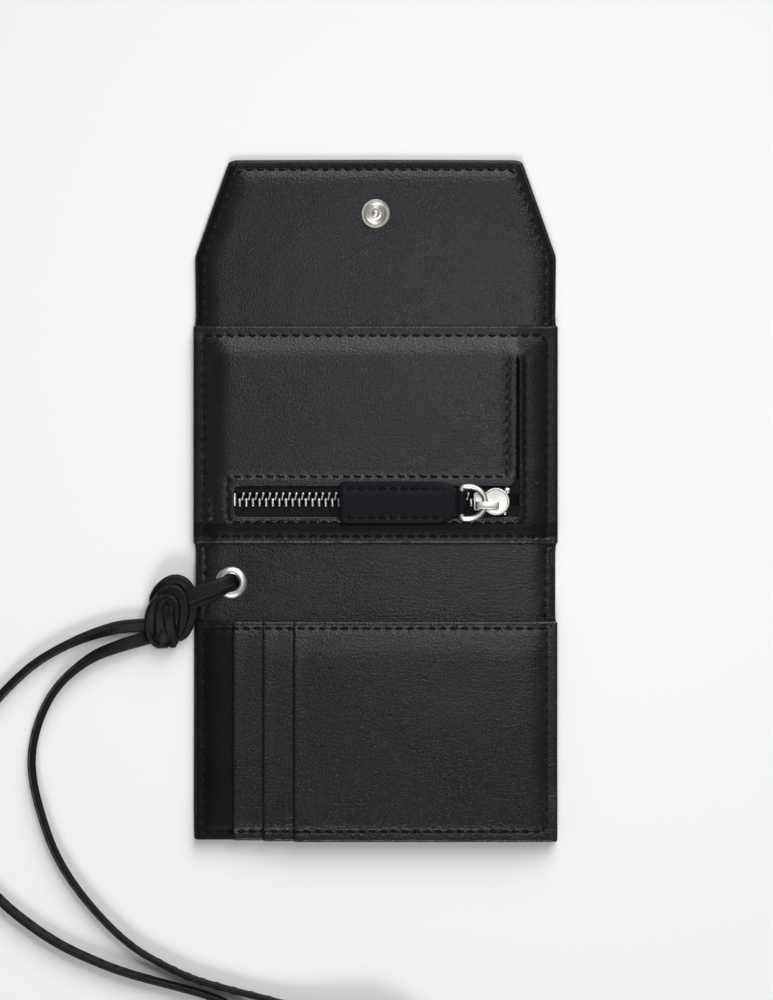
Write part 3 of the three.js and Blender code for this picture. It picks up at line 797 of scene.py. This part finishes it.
def knot_parts():
    """An overhand knot in the doubled strap: one set of turns over the top right, one down the left."""
    over = ([(-60.4, -31.4, 2.0), (-62.5, -28.6, 2.8), (-60.6, -25.0, 4.6), (-57.2, -22.9, 4.6),
             (-54.0, -23.9, 4.6), (-52.0, -28.0, 4.4), (-52.2, -33.0, 3.8), (-54.8, -38.0, 2.4),
             (-58.0, -38.4, 1.7)],
            [(-60.6, -32.6, 4.4), (-61.0, -30.8, 6.0), (-59.6, -28.7, 7.2), (-58.3, -28.3, 7.7),
             (-57.2, -29.0, 7.8), (-56.7, -31.2, 7.6), (-56.9, -34.0, 6.4), (-57.6, -36.6, 4.2),
             (-59.0, -37.6, 2.4)])
    down = ([(-57.8, -27.8, 5.0), (-60.2, -28.0, 6.0), (-62.6, -30.2, 6.2), (-63.8, -33.8, 5.2),
             (-63.6, -37.8, 3.7), (-61.4, -40.6, 2.0), (-58.8, -39.4, 1.6)],
            [(-58.0, -28.6, 6.0), (-58.4, -29.8, 7.1), (-58.4, -31.8, 7.8), (-58.1, -35.0, 7.0),
             (-57.5, -38.0, 5.0), (-57.6, -40.4, 2.6), (-58.6, -39.6, 1.6)])
    parts = []
    for (outer, inner), count, wide in ((over, 3, 1.75), (down, 3, 1.7)):
        for t in np.linspace(0, 1, count):
            line = spline(np.array(outer) * (1 - t) + np.array(inner) * t, 0.8)
            parts.append(sweep(line, wide, 1.3, sides=24, square=2.9, turn=18 * t - 8, channel=0.3))
    core = [(-60.6, -39.4, 2.8), (-59.6, -36, 4), (-58.2, -31.5, 4.6), (-56.2, -27.0, 4.0), (-55.4, -24.8, 3)]
    parts.append(sweep(spline(core, 0.8), 3.4, 2.5, sides=16, square=2.2))
    return parts


def tie_band():
    """A flat band round the coil."""
    ahead = np.array([math.cos(math.radians(TIE_ANGLE)), math.sin(math.radians(TIE_ANGLE))])
    inner, outer = COIL_RADII[1] - 1.7, COIL_RADII[0] + 1.7
    low, high = 0.45, COIL_LEVELS[1] + 2.5
    loop = rounded([(inner, low), (outer, low), (outer, high), (inner, high)], 1.6)
    beside = np.array([-ahead[1], ahead[0]])
    rings, half = [], TIE_WIDTH / 2
    for grow, shift in ((0.0, -half), (0.4, -half), (0.4, half), (0.0, half)):
        edge = offset(loop, -grow)
        rings.append([(*(COIL_CENTRE + ahead * r + beside * shift), z) for r, z in edge])
    count, faces = len(loop), []
    for k in range(4):
        a, b = k * count, (k + 1) % 4 * count
        faces += [(a + i, a + (i + 1) % count, b + (i + 1) % count, b + i) for i in range(count)]
    return np.vstack(rings), faces


# ---------------------------------------------------------------- back leather and lining

PERIMETER = offset(WALLET, STITCH_INSET)
RIM_INSET = 0.9
EYELET = np.array([-40.9, -23.5])
EYELET_BORE, EYELET_FLANGE = 2.4, 4.55
SNAP = np.array([0.0, 81.0])
STUD = np.array([0.0, -83.0])


def ring_of(centre, radius, count=32):
    angle = np.linspace(0, 2 * math.pi, count, endpoint=False)
    return centre + radius * np.stack([np.cos(angle), np.sin(angle)], 1)


def perimeter_in(low, high):
    """The row of stitches round the wallet, between two heights up it."""
    return clip(looped(resample(PERIMETER, 4, True)), low, high)


def lining_height(xy):
    """The lining's top: a little slack, sunk along the stitches, and pressed down by the rivets."""
    slack = 0.16 * waves(xy, 26, 3) + 0.05 * waves(xy, 7, 5) - 0.1
    dish = 0.25 * np.exp(-((np.linalg.norm(xy - SNAP, axis=1) / 6) ** 2))
    dish += 0.2 * np.exp(-((np.linalg.norm(xy - EYELET, axis=1) / 6) ** 2))
    bare = (xy[:, 1] > FACING_FAR - 1) | ((xy[:, 1] < FACING_NEAR + 1) & (xy[:, 1] > CARD_FAR - 1))
    return LINING_TOP - droop(xy) + np.where(bare, slack, -0.1) - dish


def ribs_along(lines):
    """Lines of mesh points on and beside rows of stitches, so that the channel has a shape."""
    return [resample(offset(line, shift, False), 0.8) for line in lines for shift in (-0.55, 0, 0.55)]


def make_hide(name, lines, holes):
    """The back leather of one stretch, with its painted edge."""
    low, high, _, bend = STRETCHES[name]
    outline = resample(cut(rounded(WALLET, 1.2), low, high), 0.9 if bend else 1.6, True)
    ribs = [resample(r, 1.0) for gap in (0.35, 0.9)
            for r in clip(looped(resample(offset(WALLET, gap), 3, True)), low, high)]
    xy, tris = fill(outline, holes, ribs, 1.0 if bend else 2.4)
    fall, curve = droop(xy), edge_round(distance(xy, WALLET, True), 0.55)
    top = LEATHER_TOP - fall - curve * 0.9
    under = LEATHER_BOTTOM - fall + curve * 0.7 + groove(xy, lines, 0.15)
    points, faces, rim = slab(xy, tris, top, under)
    piece = make(f"{name}_hide", points, faces, OUTER, EDGE, indices=rim_marks(faces, rim), sharp=50)
    stand(piece, [f"{n}_leather" for n in NODES_OF[name]], stretch=name)


def make_inside(name, lines, holes, shown):
    """The lining of one stretch, with painted shade on the strip outside its stitches on the flap."""
    low, high, _, bend = STRETCHES[name]
    inset = offset(WALLET, RIM_INSET)
    outline = resample(cut(rounded(inset, 1.2), low, high), 0.9 if bend else 1.4, True)
    ribs = ribs_along(lines) if shown else []
    xy, tris = fill(outline, holes, ribs, 0.9 if bend else 1.3 if shown else 3.0)
    gap = distance(xy, inset, True)
    top = lining_height(xy) - edge_round(gap, 0.45) - (groove(xy, lines) if shown else 0)
    points, faces, _ = slab(xy, tris, top, np.minimum(top - 0.3, LINING_BOTTOM - droop(xy) - 0.15))
    where = middles(points, faces)
    # Painted shade: faces between the flap's edge and its stitches take the shaded, duller copy of the
    # leather.
    rim = distance(where, WALLET, True) < STITCH_INSET - 0.2
    marks = (rim & (where[:, 1] > FACING_FAR)).astype(int)
    piece = make(f"{name}_inside", points, faces, LINING, SHADED, indices=marks, sharp=50)
    stand(piece, [f"{n}_lining" for n in NODES_OF[name]], stretch=name)


def make_back():
    """Each stretch of leather and lining, and the thread through both."""
    for name, (low, high, _, _) in STRETCHES.items():
        holes = [ring_of(EYELET, EYELET_BORE + 0.05)] if low < EYELET[1] < high else []
        lines = perimeter_in(low, high)
        shown = name not in ("card_panel", "zip_panel")
        make_hide(name, lines, holes)
        make_inside(name, lines, holes, shown)
        sewn = threads(lines, lambda p: LEATHER_BOTTOM - droop(p) + 0.1, -1)
        if shown:
            sewn += threads(lines, lambda p: lining_height(p) - 0.2, 1)
        piece = make(f"{name}_thread", *join(sewn), THREAD_DYED)
        settle(piece, name)


def threads(lines, height, up, size=THREAD, share=0.62):
    """One short bowed thread for each stitch along the lines, on the surface that height gives."""
    parts = []
    t = np.linspace(0, 1, 6)[:, None]
    for line in lines:
        holes = stitch_points(line)
        for a, b in zip(holes[:-1], holes[1:]):
            slant = np.array([-(b - a)[1], (b - a)[0]]) / np.linalg.norm(b - a) * 0.16
            a, b = a + slant, b - slant
            xy = a + (b - a) * ((1 - share) / 2 + share * t)
            bow = (0.2 - 0.5 * (2 * t[:, 0] - 1) ** 4) * up
            path = np.column_stack([xy, height(xy) + bow])
            taper = size * (0.75 + 0.25 * np.sin(math.pi * t[:, 0]))
            parts.append(sweep(path, taper, taper * 0.8, sides=8, square=2))
    return parts


# ---------------------------------------------------------------- zip pocket

TEETH_LEFT, TEETH_RIGHT, TEETH_PITCH = -38.7, 33.4, 1.87
TAPE_EDGE, TAPE_OUTER, TAPE_LEFT, TAPE_RIGHT = 2.1, 6.0, -41.0, 41.6
TEETH_HEIGHTS = (5.0, 6.4)
FACING = np.array([(-HALF_WIDTH, FACING_NEAR), (HALF_WIDTH, FACING_NEAR),
                   (HALF_WIDTH, FACING_FAR), (-HALF_WIDTH, FACING_FAR)])
OPENING = np.array([
    (WINDOW["left"], WINDOW["near"]), (WINDOW["right"], WINDOW["near"]),
    (WINDOW["right"], SLIT["end"]), (SLIT_LEFT, SLIT["end"]), (SLIT_LEFT, WINDOW["far"] + 0.7),
    (SLIT["left"] - 1.5, LIP_FAR), (WINDOW["left"], LIP_FAR),
])
POCKET_ROWS = [
    np.array([(48.6, -10.5), (48.6, 46.5), (-48.7, 46.5), (-48.7, -10.5), (48.6, -10.5)]),
    np.array([(37.2, 40.0), (37.2, 6.6), (-41.9, 6.6), (-41.9, -6.4), (42.5, -6.6), (42.5, 39.8)]),
]
# How full the pocket's front is, by the distance up from its near edge: a turned edge, then a slack rise
NEAR_RISE = ([0.0, 0.5, 1.7, 2.1, 4.0, 6.2, 8.5], [0.12, 0.2, 0.44, 0.5, 0.68, 0.86, 1.0])


def facing_height(xy):
    """The pocket's front: flat round the rim, full in the middle, with a rolled lip round the opening."""
    full = fullness_in(xy, 1.5 - HALF_WIDTH, HALF_WIDTH - 1.5, -999, FACING_FAR - 1.5, (9, 11, 1, 8))
    full *= np.interp(xy[:, 1] - FACING_NEAR, *NEAR_RISE)
    soft = waves(xy, 34, 11)
    full *= 1 - 0.34 * smooth((38 - xy[:, 1]) / 31)
    height = FACING_TOP - 2.45 + full * (2.2 + 0.2 * soft + 0.05 * waves(xy, 8, 12))
    lip = distance(xy, OPENING, True)
    height += 0.14 * np.exp(-((lip - 0.9) / 0.6) ** 2)
    right = (xy[:, 0] > SLIT["left"] + 0.1) & (xy[:, 1] > WINDOW["far"] - 3)
    height -= 0.5 * right * (1 - smooth((lip - 2.5) / 6)) * smooth((xy[:, 1] - 8) / 4)
    height -= droop(xy) * 0.9
    beside = (xy[:, 0] > WINDOW["left"] - 2) & (xy[:, 0] < SLIT["left"])
    lip_band = beside & (xy[:, 1] > WINDOW["far"] - 2) & (xy[:, 1] < 7)
    bevel = LIP_HEIGHT + BEVEL_SLOPE * (xy[:, 1] - LIP_FAR)
    return np.where(lip_band, np.minimum(np.maximum(height, LIP_HEIGHT), bevel), height)


def make_pocket():
    outline = resample(rounded(FACING, 0.7), 1.2, True)
    hole = resample(rounded(OPENING, 1.4), 0.9, True)
    ribs = ribs_along(POCKET_ROWS)
    for gap in (0.4, 1.0):
        ribs.append(resample(looped(offset(FACING, gap)), 1.0))
    for gap in (0.3, 0.8, 1.5):
        ribs.append(resample(looped(offset(OPENING, -gap)), 0.8))
    xy, tris = fill(outline, [hole], ribs, 1.5)
    edge = distance(xy, outline, True)
    lip = distance(xy, hole, True)
    top = facing_height(xy) - groove(xy, POCKET_ROWS) - edge_round(edge, 0.5) - edge_round(lip, 0.4)
    under = np.where(edge < 4.2, np.minimum(LINING_TOP + 0.02 - droop(xy), top - 0.35), top - 0.8)
    over_tape = (np.abs(xy[:, 1]) < TAPE_OUTER) & (edge > 4.2)
    under = np.where(over_tape, np.clip(under, 5.96, np.maximum(top - 0.12, 5.0)), under)
    points, faces, rim = slab(xy, tris, top, under)
    where = middles(points, faces)
    # Painted shade: the strip right of the slit and the pocket's rims take the half-shaded leather, and the
    # strip between the near rows of stitches takes the shaded one, standing in for how these sloping parts
    # turn from the light. The lip under the window and the strip below the near stitches keep the plain
    # lining.
    half_shade_zone = (where[:, 0] > SLIT["left"] + 0.4) | (distance(where, FACING, True) < 2.5) & (where[:, 1] < 45)
    near = (where[:, 1] < POCKET_ROWS[1][:, 1].min()) & (where[:, 1] > POCKET_ROWS[0][:, 1].min())
    near_lip = (where[:, 1] > WINDOW["near"] - 1.6) & (where[:, 0] < SLIT["left"])
    marks = np.where(near & ~near_lip, 3, np.where(half_shade_zone, 2, 0))
    marks[where[:, 1] < POCKET_ROWS[0][:, 1].min()] = 0
    marks[len(faces) - rim:] = 1
    piece = make("pocket_front", points, faces, LINING, EDGE, HALF_SHADED, SHADED, indices=marks, sharp=50)
    stand(piece, ["pocket_facing"], body="zip_panel")
    sewn = threads(POCKET_ROWS, lambda p: facing_height(p) - 0.18, 1)
    sew("pocket_thread", sewn, "zip_panel")


def tooth(x, side):
    """One cast tooth, from the cord on the tape's edge to just past the middle. The far row
    shows a round head and a slim slanted body, the near row a broad upright one."""
    middle = sum(TEETH_HEIGHTS) / 2
    if side > 0:
        root, tip, slant = 2.2, -0.25, 0.5
        wide = np.array([0.10, 0.42, 0.46, 0.30, 0.24, 0.24, 0.26, 0.32, 0.14])
        tall = np.array([0.2, 0.60, 0.70, 0.56, 0.5, 0.5, 0.54, 0.60, 0.3])
    else:
        root, tip, slant = -2.1, 0.45, 0.16
        wide = np.array([0.18, 0.38, 0.41, 0.40, 0.39, 0.38, 0.38, 0.38, 0.2])
        tall = np.array([0.2, 0.58, 0.68, 0.69, 0.68, 0.66, 0.66, 0.58, 0.3])
    t = np.linspace(0, 1, 9)
    path = np.column_stack([x + slant * (0.5 - t), root + (tip - root) * t, np.full(9, middle)])
    return sweep(path, wide, tall, sides=12, square=3)


def ribbon(side):
    """One zip tape, with a raised cord along its inner edge and ribs across it."""
    xs = np.linspace(TAPE_LEFT, TAPE_RIGHT, 173)
    ys = np.array([TAPE_EDGE - 0.35, TAPE_EDGE, TAPE_EDGE + 0.4, 3.0, 3.5, 4.0, 5.0, TAPE_OUTER])
    gx, gy = (grid.ravel() for grid in np.meshgrid(xs, ys))
    cords = 0.28 * np.exp(-((gy - TAPE_EDGE) / 0.3) ** 2)
    tops = 5.85 + cords + 0.05 * np.sin(gx * 2 * math.pi)
    tris, n = [], len(xs)
    for j in range(len(ys) - 1):
        for a in range(j * n, j * n + n - 1):
            quad = [(a, a + 1, a + n + 1), (a, a + n + 1, a + n)]
            tris += quad if side > 0 else [q[::-1] for q in quad]
    points, faces, _ = slab(np.column_stack([gx, side * gy]), np.array(tris), tops, tops - 0.4)
    return points, faces


def make_zip():
    """Both tapes and rows of teeth, the stops, and a material for the pocket lining."""
    for side, label in ((1, "far"), (-1, "near")):
        tape = make(f"zip_ribbon_{label}", *ribbon(side), TAPE, sharp=50)
        stand(tape, [f"zip_tape_{label}"], body="zip_panel")
        first = TEETH_LEFT + (1.2 if side > 0 else 0.3)
        count = int((TEETH_RIGHT - first) / TEETH_PITCH)
        row = [tooth(first + i * TEETH_PITCH, side) for i in range(count)]
        teeth = make(f"zip_row_{label}", *join(row), TEETH, sharp=50)
        stand(teeth, [f"zip_teeth_{label}"], body="zip_panel")
        for piece in (tape, teeth):
            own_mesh(piece)
    make_stops()
    dress("pocket_lining", TAPE)


def make_stops():
    """The zip's bottom stop and its two top stops: each has an outline, a foot and a top."""
    stops = {
        "zip_bottom_stop": ([(-40.6, -1.9), (-39.4, -1.9), (-39.4, 1.9), (-40.6, 1.9)], 5.0, 6.05),
        "zip_top_stop_far": ([(36.2, 1.9), (37.9, 1.7), (38.1, 3.2), (36.6, 3.5)], 5.9, 6.6),
        "zip_top_stop_near": ([(36.0, -4.3), (37.0, -4.4), (37.1, -3.4), (36.1, -3.3)], 5.9, 6.6),
    }
    for name, (corners, low, high) in stops.items():
        levels = [(low, 0.1), (low + 0.1, 0), (high - 0.25, 0), (high - 0.06, 0.15), (high, 0.4)]
        piece = make(f"{name}_cast", *stack(rounded(corners, 0.45), levels), TEETH, sharp=60)
        stand(piece, [name], body="zip_panel")


def dress(node, material):
    """A CAD node that is hardly seen keeps its own mesh and gets a material."""
    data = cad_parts[node].data
    data.materials.clear()
    data.materials.append(material)


def stack(outline, levels):
    """A solid from one outline drawn at several heights, each drawn in by its own inset."""
    count, rings = len(outline), []
    for z, inset in levels:
        rings.append(np.column_stack([offset(outline, inset), np.full(count, z)]))
    faces = []
    for k in range(len(levels) - 1):
        a, b = k * count, (k + 1) * count
        faces += [(a + i, a + (i + 1) % count, b + (i + 1) % count, b + i) for i in range(count)]
    faces += [tuple(range(count))[::-1], tuple(range((len(levels) - 1) * count, len(levels) * count))]
    return np.vstack(rings), faces


def lathe(profile, centre, sides=48):
    """A solid turned from a profile of (radius, height), closed on itself or on its axis."""
    profile = np.asarray(profile, float)
    angle = np.linspace(0, 2 * math.pi, sides, endpoint=False)
    rings = [np.column_stack([centre[0] + r * np.cos(angle), centre[1] + r * np.sin(angle),
                              np.full(sides, z)]) for r, z in profile]
    faces = []
    on_axis = profile[0, 0] < 1e-6
    last = len(profile) - 1
    for k in range(last if on_axis else last + 1):
        a, b = k * sides, (k + 1) % len(profile) * sides
        faces += [(a + i, a + (i + 1) % sides, b + (i + 1) % sides, b + i) for i in range(sides)]
    points = np.vstack(rings)
    if not on_axis:
        return points, faces
    merged, index = [], {}
    for i, p in enumerate(points):
        key = ("axis", round(p[2], 4)) if i // sides in (0, last) else i
        if key not in index:
            index[key] = len(merged)
            merged.append(p)
        index[i] = index[key]
    solid = []
    for face in faces:
        ids = []
        for i in face:
            if index[i] not in ids:
                ids.append(index[i])
        if len(ids) > 2:
            solid.append(tuple(ids))
    return np.array(merged), solid


# ---------------------------------------------------------------- slider, ring, tab

CROWN = np.array([34.0, -0.55])
CROWN_RADIUS = 3.9
SLIDER_BACK, SLIDER_HALF = 27.7, 2.6
BRIDGE = {"back": 28.3, "front": 34.8, "middle": -1.55, "half": 1.05, "under": 9.75, "top": 10.4}
RING = {"bar": 24.3, "bow": 31.0, "middle": -0.85, "half": 4.55, "wire": 0.8, "height": 8.45}


def slider_outline():
    turn = math.asin(SLIDER_HALF / CROWN_RADIUS)
    angles = np.linspace(-math.pi + turn, math.pi - turn, 40)
    crown = CROWN + CROWN_RADIUS * np.stack([np.cos(angles), np.sin(angles)], 1)
    back = rounded([(SLIDER_BACK, CROWN[1] + SLIDER_HALF), (SLIDER_BACK, CROWN[1] - SLIDER_HALF)], 0.1, False)
    corners = rounded(np.vstack([crown[-1:], back, crown[:1]]), 0.7, False)[1:-1]
    return np.vstack([crown, corners])


def make_slider():
    shape = slider_outline()
    lower = stack(shape, [(4.3, 0.2), (4.4, 0.05), (4.8, 0.0), (4.9, 0.1)])
    upper = stack(shape, [(6.45, 0.2), (6.55, 0.02), (6.9, 0.0), (7.08, 0.12), (7.14, 0.3), (7.1, 0.5),
                          (6.92, 0.62), (6.9, 0.85)])
    wedge = stack(rounded([(35.2, -0.95), (37.2, -0.8), (37.2, 0.0), (35.2, 0.4)], 0.4),
                  [(4.8, 0), (6.5, 0)])
    rails = []
    for side in (-1, 1):
        y = CROWN[1] + side * (SLIDER_HALF - 0.15)
        rail = np.array([(28.3, y - 0.12), (32.0, y - 0.12), (32.0, y + 0.12), (28.3, y + 0.12)])
        rails += [stack(rail, [(6.42, 0), (6.55, 0)]), stack(rail, [(4.8, 0), (4.95, 0)])]
    piece = make("slider_cast", *join([lower, upper, wedge] + rails), NICKEL, sharp=35)
    stand(piece, ["zip_slider"], body="slider")

    back, front, under, top = (BRIDGE[k] for k in ("back", "front", "under", "top"))
    side = [(back, 7.0), (back + 1.0, 7.0), (back + 1.0, under - 0.4), (back + 1.5, under),
            (front - 1.5, under), (front - 1.0, under - 0.4), (front - 1.0, 7.0), (front, 7.0),
            (front, top - 0.7), (front - 0.3, top - 0.2), (front - 0.9, top), (back + 0.9, top),
            (back + 0.3, top - 0.2), (back, top - 0.7)]
    points, faces = stack(np.array(side), [(-1.05, 0.2), (-0.98, 0.06), (-0.85, 0), (0.85, 0), (0.98, 0.06),
                                           (1.05, 0.2)])
    points = np.column_stack([points[:, 0], BRIDGE["middle"] - points[:, 2], points[:, 1]])
    piece = make("bridge_cast", points, faces, NICKEL, sharp=35)
    stand(piece, ["slider_bridge"], body="slider")


def make_ring():
    bar, middle, half = RING["bar"], RING["middle"], RING["half"]
    elbow = bar + 2.0
    bow = [(elbow + (RING["bow"] - elbow) * math.cos(a), middle + half * math.sin(a))
           for a in np.linspace(-math.pi / 2, math.pi / 2, 25)]
    straight = rounded([bow[-1], (bar, middle + half), (bar, middle - half), bow[0]], 0.9, False)[1:-1]
    line = resample(np.array(bow + [tuple(p) for p in straight]), 0.7, True)
    path = np.column_stack([line, np.full(len(line), RING["height"])])
    wire = sweep(path, RING["wire"], RING["wire"], closed=True, sides=16, square=2)
    piece = make("ring_wire", *wire, NICKEL, sharp=60)
    stand(piece, ["pull_ring"], body="ring")


TAB_EDGE = [(-10.3, -6.8), (8, -6.8), (17.5, -6.75), (20.5, -6.2), (23.0, -4.7), (24.4, -4.15), (25.4, -4.1),
            (25.4, 2.45), (24.4, 2.5), (23.0, 3.1), (20.5, 4.5), (17.5, 5.05), (8, 5.1), (-10.3, 5.1)]
TAB_ROWS = [np.array([(-8.5, 3.05), (18.6, 3.05)]), np.array([(-8.5, -5.1), (18.6, -5.1)])]
TAB_TOP, TAB_BOTTOM = 9.35, 7.35


def tab_height(xy):
    bar = np.clip(1 - ((xy[:, 0] - RING["bar"]) / 1.5) ** 2, 0, 1)
    flat = TAB_TOP - 0.1 + 0.12 * waves(xy, 20, 21)
    return np.maximum(flat - 0.3 * smooth((xy[:, 0] - 19) / 4), RING["height"] - 0.2 + 1.55 * np.sqrt(bar))


def make_tab():
    shape = rounded(TAB_EDGE, 1.9)
    outline = resample(shape, 0.7, True)
    ribs = ribs_along(TAB_ROWS) + [resample(looped(offset(shape, g)), 0.8) for g in (0.25, 0.6)]
    xy, tris = fill(outline, (), ribs, 1.0)
    gap = distance(xy, outline, True)
    top = tab_height(xy) - groove(xy, TAB_ROWS, 0.3) - edge_round(gap, 0.7)
    bottom = TAB_BOTTOM + 0.05 + groove(xy, TAB_ROWS, 0.15) + edge_round(gap, 0.7)
    under = np.clip(1 - ((xy[:, 0] - RING["bar"]) / 1.45) ** 2, 0, 1)
    bottom = np.minimum(bottom, RING["height"] - 1.4 * np.sqrt(under) + 0.3)
    points, faces, rim = slab(xy, tris, top, np.minimum(bottom, top - 0.2))
    piece = make("tab_leather", points, faces, TAB, EDGE, indices=rim_marks(faces, rim), sharp=50)
    stand(piece, ["pull_tab"], body="tab")
    sewn = threads(TAB_ROWS, lambda p: tab_height(p) - 0.2, 1)
    sewn += threads(TAB_ROWS, lambda p: np.full(len(p), TAB_BOTTOM + 0.2), -1)
    sew("tab_thread", sewn, "tab")


# ---------------------------------------------------------------- card slots

CARD_EDGES = [-50.9, -40.5, -32.0, -23.3]
CARD_ENDS = [-96.35, -96.5, -96.7, -96.9]
CARD_NODES = ["card_slot_base", "card_slot_1", "card_slot_2", "card_slot_3"]
CARD_ROWS = [
    np.array([(48.5, -36.5), (-48.8, -36.5), (-48.8, -93.9), (48.5, -93.9), (48.5, -36.5)]),
]


def card_level(xy, level):
    """The top of one slot's leather: pressed thin at its far and right edges, fuller between."""
    fullness = fullness_in(xy, -HALF_WIDTH - 20, HALF_WIDTH, CARD_NEAR - 9, CARD_FAR - 1.2, (1, 12, 9, 9))
    rise = 0.5 + 0.28 * fullness - 0.13 * smooth((-58 - xy[:, 1]) / 34)
    slack = 0.1 * waves(xy, 24, 31 + level) * fullness
    turned = 0.16 * np.exp(-((xy[:, 0] - CARD_EDGES[level] - 0.9) / 0.9) ** 2) if level else 0
    lip = 0.14 * np.exp(-((CARD_FAR - xy[:, 1] - 0.8) / 0.5) ** 2)
    sink = 0.9 - 0.6 * smooth((-80 - xy[:, 1]) / 9)
    return LINING_TOP + 0.55 + level * rise + slack + turned + lip - droop(xy) * sink


def card_height(xy):
    """The top of whichever slot shows."""
    out = card_level(xy, 0)
    for level in (1, 2, 3):
        out = np.where(xy[:, 0] > CARD_EDGES[level], card_level(xy, level), out)
    return out


def make_cards():
    for level, (left, end, node) in enumerate(zip(CARD_EDGES, CARD_ENDS, CARD_NODES)):
        right = HALF_WIDTH - 0.15
        shape = np.array([(left, end), (right, end), (right, CARD_FAR), (left, CARD_FAR)])
        outline = resample(rounded(shape, 0.8), 1.0, True)
        rows = clip_right(CARD_ROWS[0], left + 0.8)
        ribs = ribs_along(rows) + [resample(looped(offset(shape, gap)), 1.0) for gap in (0.3, 0.8, 1.4)]
        xy, tris = fill(outline, (), ribs, 1.7)
        gap = distance(xy, shape, True)
        top = card_level(xy, level) - edge_round(gap, 0.38) - groove(xy, rows, 0.22)
        under = np.minimum(card_level(xy, level) - 0.72, top - 0.2)
        if level == 0:
            under = np.minimum(under, LINING_TOP - droop(xy) * 0.9 - 0.05)
        points, faces, rim = slab(xy, tris, top, under)
        # The base strip, left of the first slot, takes the darkest material, so it shows darker than the
        # slots.
        face_of = LINING if level else SHADED
        piece = make(f"{node}_leather", points, faces, face_of, EDGE, indices=rim_marks(faces, rim), sharp=50)
        stand(piece, [node], body="card_panel")
    sewn = threads(CARD_ROWS, lambda p: card_height(p) - 0.15, 1)
    sew("card_thread", sewn, "card_panel")


def clip_right(line, left):
    """The stretches of a line of points to the right of a distance across."""
    swapped = [np.array((y, x)) for x, y in line]
    return [run[:, ::-1] for run in clip(swapped, left, 999)]


# ---------------------------------------------------------------- eyelet and snap

def make_eyelet():
    top, bore, rim = LINING_TOP + 0.8, EYELET_BORE, EYELET_FLANGE
    seat = LINING_TOP - 0.15
    profile = [(bore, 1.25), (bore, top - 0.35), (bore + 0.12, top - 0.12), (bore + 0.4, top),
               (bore + 0.9, top), (rim - 0.7, top - 0.22), (rim - 0.2, top - 0.48), (rim, seat + 0.1),
               (rim - 0.1, seat), (bore + 0.3, seat), (bore + 0.25, 1.3)]
    piece = make("eyelet_ring", *lathe(profile[::-1], EYELET), NICKEL, sharp=40)
    stand(piece, ["eyelet"], body="spine")
    curl = [(2.85, 1.2), (4.1, 1.2), (4.4, 1.4), (4.4, 1.65), (2.85, 1.7)]
    piece = make("eyelet_back", *lathe(curl, EYELET), NICKEL, sharp=40)
    stand(piece, ["eyelet_washer"], body="spine")


def make_snap():
    floor, top = LINING_TOP + 0.12, span("snap_socket")[1][2]
    socket = [(0.0, floor + 0.5), (0.5, floor + 0.46), (0.95, floor + 0.3), (1.15, floor + 0.08),
              (1.75, floor), (1.95, floor + 0.15), (1.95, top - 0.4), (2.02, top - 0.18),
              (2.15, top - 0.12), (2.3, top - 0.35), (2.5, top - 0.15), (2.9, top - 0.02),
              (3.2, top - 0.25), (3.35, top - 0.8), (3.5, top - 1.05), (3.75, top - 1.0),
              (3.95, top - 0.9), (4.1, top - 1.1), (4.1, LINING_TOP - 0.2), (0.0, LINING_TOP - 0.2)]
    piece = make("snap_socket_cast", *lathe(socket[::-1], SNAP), NICKEL, sharp=35)
    stand(piece, ["snap_socket"], body="flap")
    cap = [(0.0, 0.05), (2.6, 0.12), (4.0, 0.4), (4.6, 0.9), (4.75, 1.35), (4.5, 1.75), (0.0, 1.85)]
    piece = make("snap_cap_cast", *lathe(cap, SNAP), NICKEL, sharp=35)
    stand(piece, ["snap_cap"], body="flap")
    stud = [(0.0, 0.2), (1.2, 0.2), (1.6, 0.4), (1.7, 0.75), (1.5, 1.05), (1.75, 1.3), (3.1, 1.38),
            (3.4, 1.55), (3.35, 1.8), (0.0, 1.85)]
    piece = make("snap_stud_cast", *lathe(stud, STUD), NICKEL, sharp=35)
    stand(piece, ["snap_stud"], body="card_panel")
    dress("snap_post", NICKEL)


# ---------------------------------------------------------------- everything


make_camera()
make_studio()
make_floor()
make_cord()
make_back()
make_pocket()
make_zip()
make_slider()
make_ring()
make_tab()
make_cards()
make_eyelet()
make_snap()
